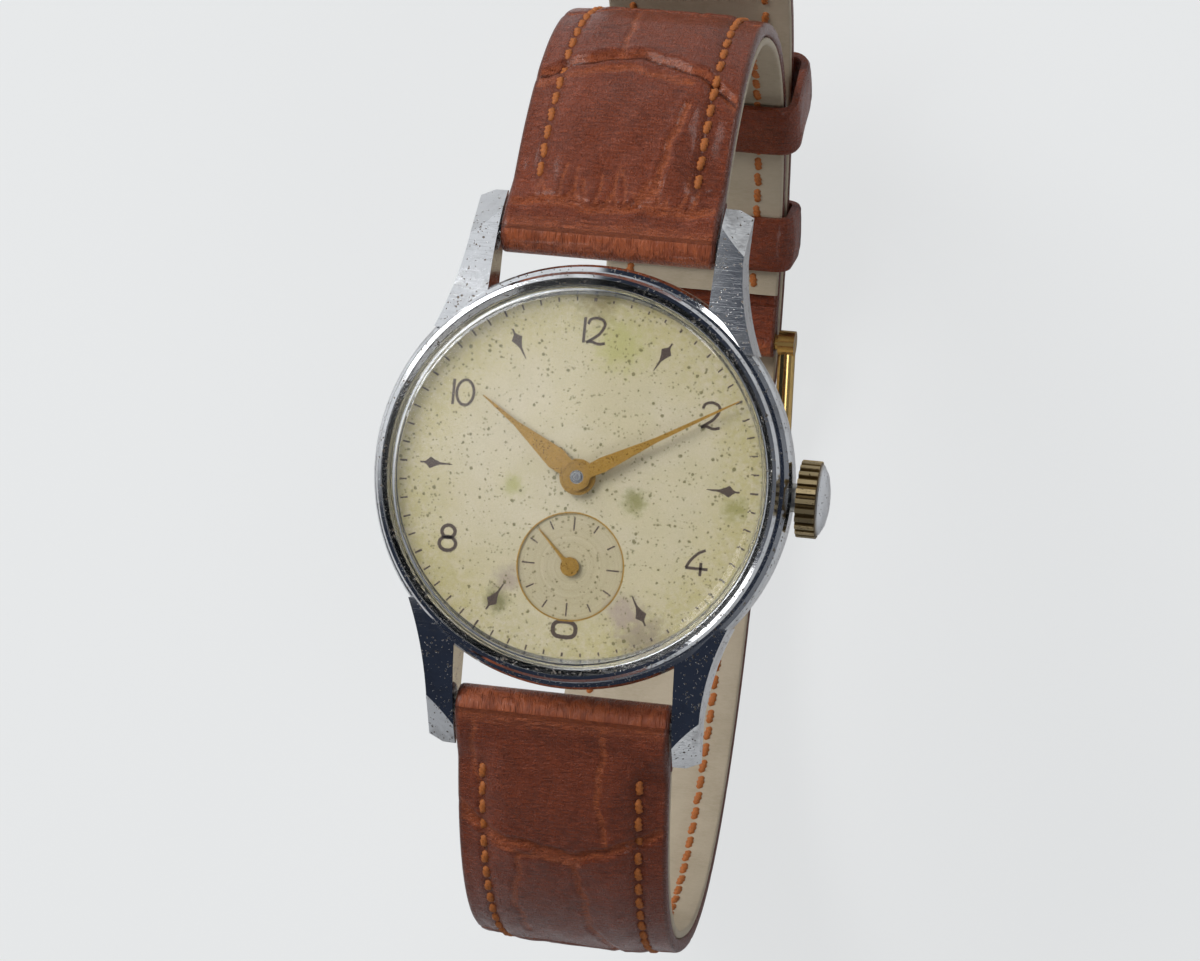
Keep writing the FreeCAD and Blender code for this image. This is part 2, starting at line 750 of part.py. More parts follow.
def hand(length, degrees, low, hub_radius, wide, wide_at, narrow, narrow_at, at=(0, 0), pipe=None):
    """A leaf-shaped hand that narrows to a long needle."""
    sides = [(hub_radius * 0.5, hub_radius * 0.45), (wide_at, wide / 2), (narrow_at, narrow / 2)]
    sides.append((length, 0.05))
    outline = [clock(reach, degrees, half, at) for reach, half in sides]
    outline += [clock(reach, degrees, -half, at) for reach, half in reversed(sides)]
    high = low + hand_thickness
    parts = [prism(outline, low, high), cylinder(hub_radius, low, high, at)]
    if pipe:
        parts.append(cylinder(pipe[0], pipe[1], low, at))
    return join(*parts)


def hands():
    hour = hand(hour_hand_length, hour_hand_angle, hour_hand_z, 1.45, 1.8, 2.3, 0.42, 6.6,
                pipe=(hour_pipe_radius + 0.2, dial_top - 0.2))
    save("hour_hand", hour.cut(cylinder(hour_pipe_radius, 0, crystal_top)))
    minute = hand(minute_hand_length, minute_hand_angle, minute_hand_z, 1.08, 1.2, 2.3, 0.4, 7.0)
    save("minute_hand", minute.cut(cylinder(cannon_seat_radius, 0, crystal_top)))
    seconds = hand(seconds_hand_length, seconds_hand_angle, seconds_z, 0.76, 0.27, 1.0, 0.16, 2.6, fourth_at)
    socket = cylinder(seconds_pivot_radius, 0, seconds_z + hand_thickness / 2 + 0.01, fourth_at)
    save("seconds_hand", seconds.cut(socket))


def motion_works():
    """The wheels under the dial: cannon pinion, minute wheel, hour wheel and setting wheel."""
    phase = mesh_phase(minute_pinion_teeth, minute_wheel_at, 0, hour_teeth, centre)
    wheel = gear(hour_teeth, hour_module, hour_wheel_low, hour_wheel_high, centre, phase)
    pipe = cylinder(hour_pipe_radius, hour_wheel_low, hour_hand_z + hand_thickness)
    save("hour_wheel", join(wheel, pipe).cut(cylinder(cannon_pipe_radius + run_gap, 0, crystal_top)))
    # cannon pinion: leaves below, a long pipe that carries the minute hand
    leaves = gear(cannon_teeth, motion_module, motion_low, motion_high + 0.05)
    leaves = leaves.common(cylinder(cannon_pipe_radius + 0.15, 0, crystal_top))
    pipe = cylinder(cannon_pipe_radius, motion_low, minute_hand_z - press_gap)
    seat = cylinder(cannon_seat_radius, motion_low, minute_hand_z + hand_thickness)
    save("cannon_pinion", join(leaves, pipe, seat).cut(cylinder(cannon_bore_radius, 0, crystal_top)))
    minute_phase = mesh_phase(cannon_teeth, centre, 0, minute_teeth, minute_wheel_at)
    wheel = gear(minute_teeth, motion_module, motion_low, motion_high, minute_wheel_at, minute_phase)
    pinion = gear(minute_pinion_teeth, hour_module, motion_high, hour_wheel_high, minute_wheel_at, 0)
    hole = cylinder(post_radius + run_gap, 0, dial_seat, minute_wheel_at)
    save("minute_wheel", join(wheel, pinion).cut(hole))
    phase = mesh_phase(minute_teeth, minute_wheel_at, minute_phase, setting_teeth, setting_at)
    wheel = gear(setting_teeth, motion_module, motion_low, motion_high, setting_at, phase)
    save("setting_wheel", wheel.cut(cylinder(post_radius + run_gap, 0, dial_seat, setting_at)))


# ---------------------------------------------------------------- plates and bridges


def screw_hole(shape, at):
    return shape.cut(cylinder(screw_radius + press_gap, 0, 4.4, at))


def main_plate():
    """The plate that carries everything, with a recess for each wheel and pillars for the bridges."""
    low = plate_low - 1
    under_dial = motion_low - 0.06
    lever_top = lever_high + 0.06
    channel = 1.75
    recesses = [
        cylinder(barrel_outer + 0.15, low, barrel_high + 0.08, barrel_at),
        cylinder(1.15, low, centre_pinion_high + 0.08),
        cylinder(hour_outer + 0.2, under_dial, neck_top),
        cylinder(minute_outer + 0.2, under_dial, neck_top, minute_wheel_at),
        cylinder(setting_outer + 0.2, under_dial, neck_top, setting_at),
        box((stem_square_end - 0.2, -channel, low), (plate_radius + 1, channel, 4.75)),
        prism([(6.9, 1.7), (14, 1.7), (14, 3.6), (9.6, 3.6), (9.6, 5.4), (7.6, 5.4)], low, lever_top),
        cross_bar(stem_tip_radius + run_gap, stem_tip_end - 0.1, 7.5, 0, stem_z),
        cylinder(cannon_seat_radius, low, neck_top),
        cylinder(barrel_hub_radius + press_gap, barrel_high - 0.05, barrel_high + 0.34, barrel_at),
        cylinder(0.35, low, neck_top, fourth_at),
    ]
    for angle in dial_feet:
        at = polar(dial_foot_circle, angle)
        recesses.append(cylinder(dial_foot_radius + press_gap, dial_seat - 1.02, neck_top, at))
    plate = cylinder(plate_radius, plate_low, dial_seat)
    for recess in recesses:
        plate = plate.cut(recess)
    pillars = [cylinder(1.0, bridge_high, plate_low, at)
               for at in barrel_bridge_screws + train_bridge_screws[:2]]
    pillars.append(cylinder(0.75, bridge_high, plate_low, train_bridge_screws[2]))
    posts = [
        cylinder(post_radius, lever_top, hour_wheel_high, minute_wheel_at),
        cylinder(post_radius, lever_top, hour_wheel_low, setting_at),
        cylinder(post_radius, lever_low - 0.02, lever_top + 0.12, setting_lever_at),
        cylinder(post_radius, lever_low - 0.02, lever_top + 0.12, yoke_at),
    ]
    plate = plate.multiFuse(posts + pillars)
    for at in barrel_bridge_screws + train_bridge_screws + [cock_foot, pallet_foot]:
        plate = screw_hole(plate, at)
    for at in train_ends + [pallet_at, balance_at]:
        plate = plate.cut(cylinder(jewel_radius, low, plate_low + jewel_thickness, at))
    return plate.removeSplitter()


def bridges():
    """The barrel bridge and the train bridge share one stepped edge."""
    disc = cylinder(plate_radius - 0.3, bridge_low, bridge_high)
    far = plate_radius + 2
    edge = [(3.6, 1.0), (4.9, -3.7), (far, -3.7)]
    below = [(-far, 1.0)] + edge + [(far, -far), (-far, -far)]
    above = [(-far, 1.0 + bridge_gap)] + [(min(x + bridge_gap, far), y + bridge_gap) for x, y in edge]
    above += [(far, far), (-far, far)]
    upper = disc.common(prism(above, 0, dial_seat))
    upper = upper.cut(box((8.05, -1.75, 0), (far, 1.75, dial_seat)))
    # a pocket for the sliding pinion where the pulled crown sends it
    pocket_start = spool_end - spool_length - spool_travel * crown_pull - 0.2
    upper = upper.cut(cross_bar(spool_radius + 0.15, pocket_start, plate_radius, 0, stem_z))
    upper = upper.cut(cylinder(barrel_hub_radius + run_gap, 0, dial_seat, barrel_at))
    for at in barrel_bridge_screws:
        upper = screw_hole(upper, at)
    click_post = cylinder(post_radius, winding_wheel_low, bridge_low, click_at)
    save("barrel_bridge", upper.fuse(click_post).removeSplitter())

    lower = disc.common(prism(below, 0, dial_seat))
    lower = lower.cut(cylinder(balance_radius + 0.4, 0, dial_seat, balance_at))
    lower = lower.cut(box((-far, -far, 0), (-9.3, 2, dial_seat)))
    lower = lower.cut(cylinder(1.45, 0, dial_seat, pallet_at))
    for at in train_bridge_screws:
        lower = screw_hole(lower, at)
    for at in train_ends + [centre]:
        lower = lower.cut(cylinder(jewel_radius, 0, dial_seat, at))
    save("train_bridge", max(lower.Solids, key=lambda solid: solid.Volume))


def balance_cock():
    shape = join(
        cylinder(1.3, cock_low, cock_high, cock_foot),
        cylinder(1.2, cock_low, cock_high, balance_at),
        strip(cock_foot, balance_at, 1.1, 0.95, cock_low, cock_high),
        cylinder(1.2, cock_high, plate_low, cock_foot),
    )
    return screw_hole(shape, cock_foot).cut(cylinder(jewel_radius, 0, dial_seat, balance_at))


def pallet_bridge():
    low, high = pallet_bridge_low, pallet_bridge_high
    shape = join(
        strip(pallet_foot, pallet_at, 0.6, 0.55, low, high),
        cylinder(0.75, low, high, pallet_at),
        cylinder(0.75, low, plate_low, pallet_foot),
    )
    return screw_hole(shape, pallet_foot).cut(cylinder(pallet_jewel_radius, 0, dial_seat, pallet_at))


def regulator():
    """A ring on the balance cock with an index arm."""
    arm = prism([
        polar(0.75, 20, balance_at),
        polar(2.4, 33, balance_at),
        polar(2.4, 37, balance_at),
        polar(0.75, 50, balance_at),
    ], regulator_low, regulator_high)
    return join(ring(1.05, 0.66, regulator_low, regulator_high, balance_at), arm)


def bridge_screws():
    screws = []
    end = 4.3
    seats = [(at, bridge_low) for at in barrel_bridge_screws + train_bridge_screws]
    seats.append((cock_foot, cock_low))
    for at, seat in seats:
        x, y = at
        head = cylinder(screw_head_radius, seat - screw_head, seat, at)
        slot = box((x - 1, y - 0.08, seat - 1), (x + 1, y + 0.08, seat - screw_head + 0.1))
        screws.append(join(head.cut(slot), cylinder(screw_radius, seat, end, at)))
    head = cylinder(0.55, pallet_bridge_low - 0.2, pallet_bridge_low, pallet_foot)
    screws.append(join(head, cylinder(screw_radius, pallet_bridge_low, end, pallet_foot)))
    save("bridge_screws", *screws)


def jewels():
    """Hole jewels of the train, pallets and balance, and the balance's cap jewel."""
    stones = []
    hole = pivot_radius + run_gap
    top, under = bridge_high - jewel_thickness, plate_low + jewel_thickness
    for at in train_ends:
        bore = seconds_pivot_radius + 0.05 if at == fourth_at else hole
        stones.append(ring(jewel_radius, hole, top, bridge_high, at))
        stones.append(ring(jewel_radius, bore, plate_low, under, at))
    stones.append(ring(jewel_radius, hole, top, bridge_high, centre))
    low, high = pallet_bridge_low + press_gap, pallet_bridge_high - press_gap
    stones.append(ring(pallet_jewel_radius, hole, low, high, pallet_at))
    stones.append(ring(jewel_radius, hole, plate_low, under, pallet_at))
    middle = (cock_low + cock_high) / 2
    stones.append(ring(jewel_radius, hole, middle, cock_high, balance_at))
    stones.append(ring(jewel_radius, hole, plate_low, under - 0.05, balance_at))
    stones.append(cylinder(jewel_radius, cock_low, middle, balance_at))
    save("jewels", *stones)


# ---------------------------------------------------------------- going train


def barrel():
    drum_radius = barrel_outer - 0.35
    hub_hole = barrel_hub_radius + run_gap
    wall = ring(drum_radius, drum_radius - 0.25, barrel_low + 0.2, barrel_high, barrel_at)
    floor = cylinder(drum_radius - 0.05, barrel_gear_low, barrel_high, barrel_at)
    teeth = gear(barrel_teeth, barrel_module, barrel_gear_low, barrel_gear_high, barrel_at)
    save("barrel_drum", join(teeth, floor, wall).cut(cylinder(hub_hole, 0, crystal_top, barrel_at)))
    cover_high = barrel_low + barrel_cover_thickness
    save("barrel_cover", ring(drum_radius - 0.05, hub_hole, barrel_low, cover_high, barrel_at))
    spring = spiral(barrel_at, 1.4, 0.4, 8, 0.12, barrel_low + 0.25, barrel_gear_low - 0.08)
    save("mainspring", spring)


def centre_wheel():
    """The wheel under the minute hand, turned once an hour by the barrel."""
    wheel = gear(centre_teeth, centre_module, centre_wheel_low, centre_wheel_high)
    rim = pitch_radius(centre_teeth, centre_module) - 0.65
    wheel = spoked(wheel, centre, rim, 1.0, 5, 0.5, centre_wheel_low, centre_wheel_high)
    phase = mesh_phase(barrel_teeth, barrel_at, 0, centre_pinion_teeth, centre)
    low, high = centre_pinion_low, centre_pinion_high
    pinion = gear(centre_pinion_teeth, barrel_module, low, high, centre, phase)
    return join(
        wheel,
        pinion,
        cylinder(pivot_radius, bridge_low, centre_wheel_low + 0.06),
        cylinder(cannon_bore_radius + 0.05, centre_wheel_low - 0.06, high + 0.05),
        cylinder(cannon_bore_radius, high, minute_hand_z + hand_thickness + 0.12),
    )


def train_arbor(at, radius=arbor_radius):
    return arbor(at, bridge_low + 0.25, plate_low + 0.34, radius)


def third_wheel():
    low, high = third_wheel_low, third_wheel_high
    wheel = gear(third_teeth, third_module, low, high, third_at)
    rim = pitch_radius(third_teeth, third_module) - 0.5
    wheel = spoked(wheel, third_at, rim, 0.9, 4, 0.45, low, high)
    phase = mesh_phase(centre_teeth, centre, 0, third_pinion_teeth, third_at)
    low, high = third_pinion_low, third_pinion_high
    pinion = gear(third_pinion_teeth, centre_module, low, high, third_at, phase)
    return join(wheel, pinion, train_arbor(third_at))


def fourth_wheel():
    """The wheel whose long pivot carries the small seconds hand."""
    low, high = fourth_wheel_low, fourth_wheel_high
    wheel = gear(fourth_teeth, fourth_module, low, high, fourth_at)
    rim = pitch_radius(fourth_teeth, fourth_module) - 0.5
    wheel = spoked(wheel, fourth_at, rim, 0.85, 4, 0.45, low, high)
    phase = mesh_phase(third_teeth, third_at, 0, fourth_pinion_teeth, fourth_at)
    low, high = fourth_pinion_low, fourth_pinion_high
    pinion = gear(fourth_pinion_teeth, third_module, low, high, fourth_at, phase)
    long_pivot = cylinder(seconds_pivot_radius, plate_low, seconds_z + 0.06, fourth_at)
    return join(wheel, pinion, train_arbor(fourth_at), long_pivot)


def escape_wheel():
    low, high = escape_wheel_low, escape_wheel_high
    root = escape_radius - 0.55
    pitch = 360.0 / escape_teeth
    outline = []
    for tooth in range(escape_teeth):
        for share, radius in ((-0.25, root), (0.12, escape_radius), (0.28, escape_radius), (0.3, root)):
            outline.append(polar(radius, (tooth + share) * pitch, escape_at))
    wheel = spoked(prism(outline, low, high), escape_at, root - 0.2, 0.6, 4, 0.3, low, high)
    phase = mesh_phase(fourth_teeth, fourth_at, 0, escape_pinion_teeth, escape_at)
    low, high = escape_pinion_low, escape_pinion_high
    pinion = gear(escape_pinion_teeth, fourth_module, low, high, escape_at, phase)
    return join(wheel, pinion, train_arbor(escape_at, 0.22))


def pallets():
    """The fork: a lever towards the balance and two arms with stones over the escape wheel."""
    low, high = pallet_low, pallet_high
    half = 0.16
    notch = escape_to_balance - impulse_radius

    def on_line(reach):
        return polar(reach, escape_line, escape_at)

    parts = [cylinder(0.34, low, high, pallet_at), strip(pallet_at, on_line(notch), half, half, low, high)]
    stones = []
    for side in (1, -1):
        angle = escape_line + side * 29
        arm_end = polar(escape_radius + 0.32, angle, escape_at)
        parts.append(strip(pallet_at, arm_end, half, half, low, high))
        inner = polar(escape_radius + 0.06, angle, escape_at)
        outer = polar(escape_radius + 0.5, angle, escape_at)
        stones.append(strip(inner, outer, 0.12, 0.12, low, high))
    parts.append(strip(on_line(notch - 0.5), on_line(notch + 0.14), 0.32, 0.32, low, high))
    slot = strip(on_line(notch - 0.3), on_line(escape_to_balance), 0.17, 0.17, low - 1, high + 1)
    fork = join(*parts).cut(slot)
    for stone in stones:
        fork = fork.cut(stone)
    fork = max(fork.Solids, key=lambda solid: solid.Volume)
    staff = arbor(pallet_at, pallet_bridge_low + 0.05, plate_low + 0.3, 0.2)
    save("pallet_fork", join(fork, staff))
    save("pallet_stones", *stones)


def balance():
    """The balance wheel with its timing screws, its staff with the roller, and the impulse jewel."""
    low, high = balance_low, balance_high
    arm_low, arm_high = balance_arm_low, balance_arm_high
    rim_radius = balance_radius - 0.32
    staff_radius = 0.25
    parts = [ring(rim_radius, rim_radius - 0.5, low, high, balance_at)]
    parts.append(cylinder(0.7, arm_low, arm_high, balance_at))
    for arm in range(3):
        end = polar(rim_radius - 0.2, 120 * arm, balance_at)
        parts.append(strip(balance_at, end, 0.2, 0.2, arm_low, arm_high))
    for screw in range(timing_screws):
        degrees = (screw + 0.5) * 360.0 / timing_screws
        x, y = polar(rim_radius - 0.3, degrees, balance_at)
        toward = Vector(*polar(1, degrees), 0)
        parts.append(Part.makeCylinder(0.12, 0.6, Vector(x, y, (low + high) / 2), toward))
    hole = cylinder(staff_radius, 0, dial_seat, balance_at)
    save("balance_wheel", join(*parts).cut(hole))
    staff = join(
        cylinder(staff_radius, low - 0.07, 3.3, balance_at),
        cylinder(pivot_radius, (cock_low + cock_high) / 2 + 0.02, plate_low + 0.28, balance_at),
        cylinder(impulse_radius + 0.3, roller_low, roller_high, balance_at),
        cylinder(staff_radius * 2, hairspring_low - 0.02, hairspring_high, balance_at),
    )
    save("balance_staff", staff)
    pin_at = polar(impulse_radius, escape_line + 180, balance_at)
    save("impulse_jewel", cylinder(0.12, roller_high, roller_high + 0.1, pin_at))
    save("hairspring", spiral(balance_at, 0.62, 0.26, 7, 0.05, hairspring_low, hairspring_high))


# ---------------------------------------------------------------- strap


bar_share = (1 - (bar_y / loop_half_width) ** loop_squareness) ** (1 / loop_squareness)
loop_height = (bar_z - loop_centre_z) / bar_share


def loop_point(angle):
    """A point (y, z) of the loop; 0 degrees is the 12 o'clock side, 90 the dial side."""
    radians = math.radians(angle)
    share_y = math.cos(radians)
    share_z = math.sin(radians)
    power = 2 / loop_squareness
    y = loop_half_width * math.copysign(abs(share_y) ** power, share_y)
    z = loop_centre_z + loop_height * math.copysign(abs(share_z) ** power, share_z)
    return (y, z)


def loop_track():
    """The loop from the 12 o'clock bar, over the outside and round to the 6 o'clock bar."""
    start = math.degrees(math.acos((bar_y / loop_half_width) ** (loop_squareness / 2)))
    steps = 720
    span = 180.0 + 2 * start
    points = [loop_point(start - span * step / steps) for step in range(steps + 1)]
    lengths = [0.0]
    for first, second in zip(points, points[1:]):
        lengths.append(lengths[-1] + distance(first, second))
    return points, lengths


track, track_lengths = loop_track()
loop_length = track_lengths[-1]


def on_loop(station, lift=0.0):
    """The point at a station along the loop, lifted outwards, and the outward direction."""
    index = 1
    while index < len(track) - 2 and track_lengths[index] < station:
        index += 1
    first, second = track[index - 1], track[index]
    share = (station - track_lengths[index - 1]) / (track_lengths[index] - track_lengths[index - 1])
    y = first[0] + (second[0] - first[0]) * share
    z = first[1] + (second[1] - first[1]) * share
    before, after = track[max(index - 3, 0)], track[min(index + 2, len(track) - 1)]
    run = distance(before, after)
    along = ((after[0] - before[0]) / run, (after[1] - before[1]) / run)
    outward = (-along[1], along[0])
    return (y + outward[0] * lift, z + outward[1] * lift), outward, along


def smooth(share):
    share = min(max(share, 0.0), 1.0)
    return share * share * (3 - 2 * share)


def thickness_at(from_bar):
    """The strap is thick and padded at the lugs and thins along its length."""
    thinning = strap_lug_thickness - strap_thickness
    return strap_lug_thickness - thinning * smooth(from_bar / strap_taper_length)


pivot_station = buckle_half_length
tail_end_station = loop_length - tail_half_length


def tail_lift_at(station):
    """How far the tail stands outside the loop line: over the buckle half, then springing away."""
    lift = tail_lift * smooth((pivot_station + buckle_reach - station) / (buckle_reach - 1.0))
    spring = max(0.0, (tail_end_station + tail_spring_length - station) / tail_spring_length)
    return lift + tail_spring * spring ** 2


def outer_leather(lift, thick):
    return lift - thick / 2 + lining_thickness, lift + thick / 2


def lining_leather(lift, thick):
    return lift - thick / 2, lift - thick / 2 + lining_thickness


def turned_leather(lift, thick):
    """The end that is turned over under the outer leather, where the lining stops."""
    return lift - thick / 2, lift


def strap_layer(start, end, lift_at, thick_at, half_top, levels, steps=28):
    """One layer of the strap between two stations, tapering from half_top at the bars to the back."""
    inner, outer = [], []
    for step in range(steps + 1):
        station = start + (end - start) * step / steps
        bottom, top = levels(lift_at(station), thick_at(station))
        for side, height in ((inner, bottom), (outer, top)):
            y, z = on_loop(station, height)[0]
            side.append(Vector(0, y, z))
    edges = []
    for points in (inner, outer):
        curve = Part.BSplineCurve()
        curve.interpolate(points)
        edges.append(curve.toShape())
    edges.append(Part.makeLine(inner[0], outer[0]))
    edges.append(Part.makeLine(inner[-1], outer[-1]))
    face = Part.Face(Part.Wire(Part.__sortEdges__(edges)))
    margin = 8.0
    reach = max(half_top, end_half) + margin
    slab = face.extrude(Vector(2 * reach, 0, 0))
    slab.translate(Vector(-reach, 0, 0))
    # the taper: straight sides in the front view, narrowing towards the back of the loop
    back = loop_centre_z - loop_height
    slope = (half_top - end_half) / (bar_z - back)
    above, below = half_top + slope * margin, end_half - slope * margin
    sides = [Vector(above, -60, bar_z + margin), Vector(below, -60, back - margin),
             Vector(-below, -60, back - margin), Vector(-above, -60, bar_z + margin)]
    wedge = Part.Face(Part.makePolygon(sides + sides[:1])).extrude(Vector(0, 120, 0))
    return slab.common(wedge)


def strap():
    """The buckle half and the tail half, each an outer leather and a lining."""
    lug_half = lug_gap / 2 - strap_gap
    lining_start = 4.5
    end_gap = 0.2
    pivot = on_loop(pivot_station)[0]
    lug_hole = bar_radius + run_gap

    def flat(station):
        return 0.0

    def from_twelve(station):
        return thickness_at(station)

    def from_six(station):
        return thickness_at(loop_length - station)

    def roll(y, z, radius, hole, half):
        """The turned-over end of a half, and the hole of the bar it holds."""
        return cross_bar(radius, -half, half, y, z), cross_bar(hole, -half - 1, half + 1, y, z)

    last = pivot_station - end_gap
    turn, hole = roll(bar_y, bar_z, lug_roll_radius, lug_hole, lug_half)
    end_roll_radius = strap_thickness / 2 + 0.35
    end_turn, end_hole = roll(*pivot, end_roll_radius, buckle_bar_radius + run_gap, end_half)
    layers = [
        strap_layer(end_gap, last, flat, from_twelve, lug_half, outer_leather),
        strap_layer(end_gap, lining_start, flat, from_twelve, lug_half, turned_leather, 6),
        strap_layer(pivot_station - lining_start, last, flat, from_twelve, lug_half, turned_leather, 6),
    ]
    slot = box((-tongue_slot_half, pivot[0] - 4, pivot[1] - 4),
               (tongue_slot_half, pivot[0] + 3, pivot[1] + 4))
    save("strap_buckle_half", join(*layers, turn, end_turn).cut(hole).cut(end_hole).cut(slot))
    lining_end = pivot_station - lining_start
    lining = strap_layer(lining_start, lining_end, flat, from_twelve, lug_half, lining_leather)
    save("lining_buckle_half", lining)

    # the tail half comes up from 6 o'clock, through the buckle, and over the buckle half
    switch = pivot_station + buckle_reach + 1.0
    last = loop_length - end_gap
    turn, hole = roll(-bar_y, bar_z, lug_roll_radius, lug_hole, lug_half)
    layers = [
        strap_layer(switch, last, flat, from_six, lug_half, outer_leather),
        strap_layer(tail_end_station, switch, tail_lift_at, from_six, end_half, outer_leather, 40),
        strap_layer(loop_length - lining_start, last, flat, from_six, lug_half, turned_leather, 6),
    ]
    tongue_hole = tongue_way(pivot)
    save("strap_tail_half", join(*layers, turn).cut(hole).cut(tongue_hole))
    lining = join(
        strap_layer(switch, loop_length - lining_start, flat, from_six, lug_half, lining_leather),
        strap_layer(tail_end_station, switch, tail_lift_at, from_six, end_half, lining_leather, 40),
    )
    save("lining_tail_half", lining.cut(tongue_hole))


def front_bar_place():
    """Centre (y, z) of the buckle frame's front bar, just outside the tail."""
    station = pivot_station + buckle_reach
    lift = tail_lift_at(station) + strap_thickness / 2 + buckle_clearance + buckle_wire
    return on_loop(station, lift)[0]


def tongue_tip_place():
    """Where the tongue crosses the front bar, resting on its outside."""
    pivot = on_loop(pivot_station)[0]
    front = front_bar_place()
    reach = distance(pivot, front)
    rise = math.degrees(math.asin((buckle_wire + tongue_radius + fit_gap) / reach))
    tip = polar(reach, direction(pivot, front) + rise, pivot)
    along = ((tip[0] - pivot[0]) / reach, (tip[1] - pivot[1]) / reach)
    return tip, along


def tongue_way(pivot):
    """The slot in the tail that the tongue stands in."""
    tip = tongue_tip_place()[0]
    run = distance(pivot, tip)
    slot = box((-tongue_hole_half, 0.9, -4.0), (tongue_hole_half, run * 0.8, 4.0))
    slot.rotate(Vector(0, 0, 0), Vector(1, 0, 0), direction(pivot, tip))
    slot.translate(Vector(0, pivot[0], pivot[1]))
    return slot


def rod(radius, start, end):
    """A round bar between two points, with rounded ends."""
    line = end.sub(start)
    shaft = Part.makeCylinder(radius, line.Length, start, line)
    return join(shaft, Part.makeSphere(radius, start), Part.makeSphere(radius, end))


def buckle():
    pivot = on_loop(pivot_station)[0]
    front = front_bar_place()
    arm_x = end_half + buckle_clearance + buckle_wire
    left = [Vector(-arm_x, *pivot), Vector(-arm_x, *front)]
    right = [Vector(arm_x, *pivot), Vector(arm_x, *front)]
    parts = [rod(buckle_wire, *left), rod(buckle_wire, *right), rod(buckle_wire, left[1], right[1])]
    for x in (-arm_x, arm_x):
        parts.append(cross_bar(buckle_ear_radius, x - 0.75, x + 0.75, *pivot))
    pin = cross_bar(buckle_bar_radius, -arm_x - 0.6, arm_x + 0.6, *pivot)
    save("buckle_frame", join(*parts).cut(pin))
    save("buckle_bar", pin)
    tip, along = tongue_tip_place()
    beyond = Vector(0, tip[0] + along[0], tip[1] + along[1])
    eye = cross_bar(buckle_bar_radius + 0.42, -0.8, 0.8, *pivot)
    hole = cross_bar(buckle_bar_radius + fit_gap, -3, 3, *pivot)
    save("buckle_tongue", join(rod(tongue_radius, Vector(0, *pivot), beyond), eye).cut(hole))


def keeper(station, room):
    """A leather loop round the buckle half and the tail."""
    base, outward, _ = on_loop(station)
    low = -strap_thickness / 2 - room
    high = tail_lift_at(station) + strap_thickness / 2 + room
    half = end_half + 0.25 + room
    outer = box((-half - keeper_wall, -keeper_width / 2, low - keeper_wall),
                (half + keeper_wall, keeper_width / 2, high + keeper_wall))
    loop = outer.cut(box((-half, -keeper_width, low), (half, keeper_width, high)))
    # local Y runs along the strap and local Z outwards
    loop.rotate(Vector(0, 0, 0), Vector(1, 0, 0), direction((0, 0), outward) - 90)
    loop.translate(Vector(0, base[0], base[1]))
    return loop


# ---------------------------------------------------------------- build

case_parts()
spring_bars()
save("crown", crown())
save("crown_tube", crown_tube())
save("winding_stem", winding_stem())
save("winding_pinion", winding_pinion())
save("sliding_pinion", sliding_pinion())
save("setting_lever", setting_lever())
save("yoke", yoke())
winding_wheels()
save("click", click())
save("click_spring", click_spring())
save("dial", dial())
hands()
motion_works()
save("main_plate", main_plate())
bridges()
save("balance_cock", balance_cock())
save("pallet_bridge", pallet_bridge())
save("regulator", regulator())
bridge_screws()
jewels()
barrel()
save("centre_wheel", centre_wheel())
save("third_wheel", third_wheel())
save("fourth_wheel", fourth_wheel())
save("escape_wheel", escape_wheel())
pallets()
balance()
strap()
buckle()
save("fixed_keeper", keeper(pivot_station - fixed_keeper_back, fixed_keeper_room))
save("free_keeper", keeper(pivot_station - free_keeper_back, free_keeper_room))

print("crown pulls out by", crown_pull, "sliding pinion goes in by", spool_travel * crown_pull)
print("loop length", loop_length, "; loop height", loop_height)
print("buckle pivot", on_loop(pivot_station)[0], "front bar", front_bar_place())
print("free keeper place, outward and along", on_loop(pivot_station - free_keeper_back))
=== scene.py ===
"""A hand-wound wristwatch on its buckled strap: metals, dial printing, crystal and stitched leather."""

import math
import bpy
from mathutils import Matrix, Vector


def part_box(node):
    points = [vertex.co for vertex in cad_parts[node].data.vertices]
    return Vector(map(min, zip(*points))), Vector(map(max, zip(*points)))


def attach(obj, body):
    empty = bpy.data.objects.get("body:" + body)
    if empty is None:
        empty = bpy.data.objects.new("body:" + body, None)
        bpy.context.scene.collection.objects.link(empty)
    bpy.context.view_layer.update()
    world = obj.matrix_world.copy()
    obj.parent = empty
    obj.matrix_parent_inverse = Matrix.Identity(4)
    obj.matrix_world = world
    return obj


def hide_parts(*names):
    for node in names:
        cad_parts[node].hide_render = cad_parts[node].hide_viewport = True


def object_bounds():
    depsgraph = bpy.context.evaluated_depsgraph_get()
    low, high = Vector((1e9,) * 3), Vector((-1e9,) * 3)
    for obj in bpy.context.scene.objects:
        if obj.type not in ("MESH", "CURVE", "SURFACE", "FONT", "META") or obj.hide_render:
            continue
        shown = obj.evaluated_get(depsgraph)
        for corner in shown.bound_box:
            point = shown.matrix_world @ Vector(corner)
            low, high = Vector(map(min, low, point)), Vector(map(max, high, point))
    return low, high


bl_info = {
    "name": "Wristwatch dressing",
    "version": (1, 0, 0),
    "blender": (4, 5, 0),
    "location": "3D View > Sidebar > Watch",
    "description": "Dresses a wristwatch in its metals, dial printing, crystal and stitched leather strap",
    "category": "Object",
}

import bpy
import numpy as np
from bpy.props import FloatProperty, FloatVectorProperty, PointerProperty
from mathutils import Matrix, Vector

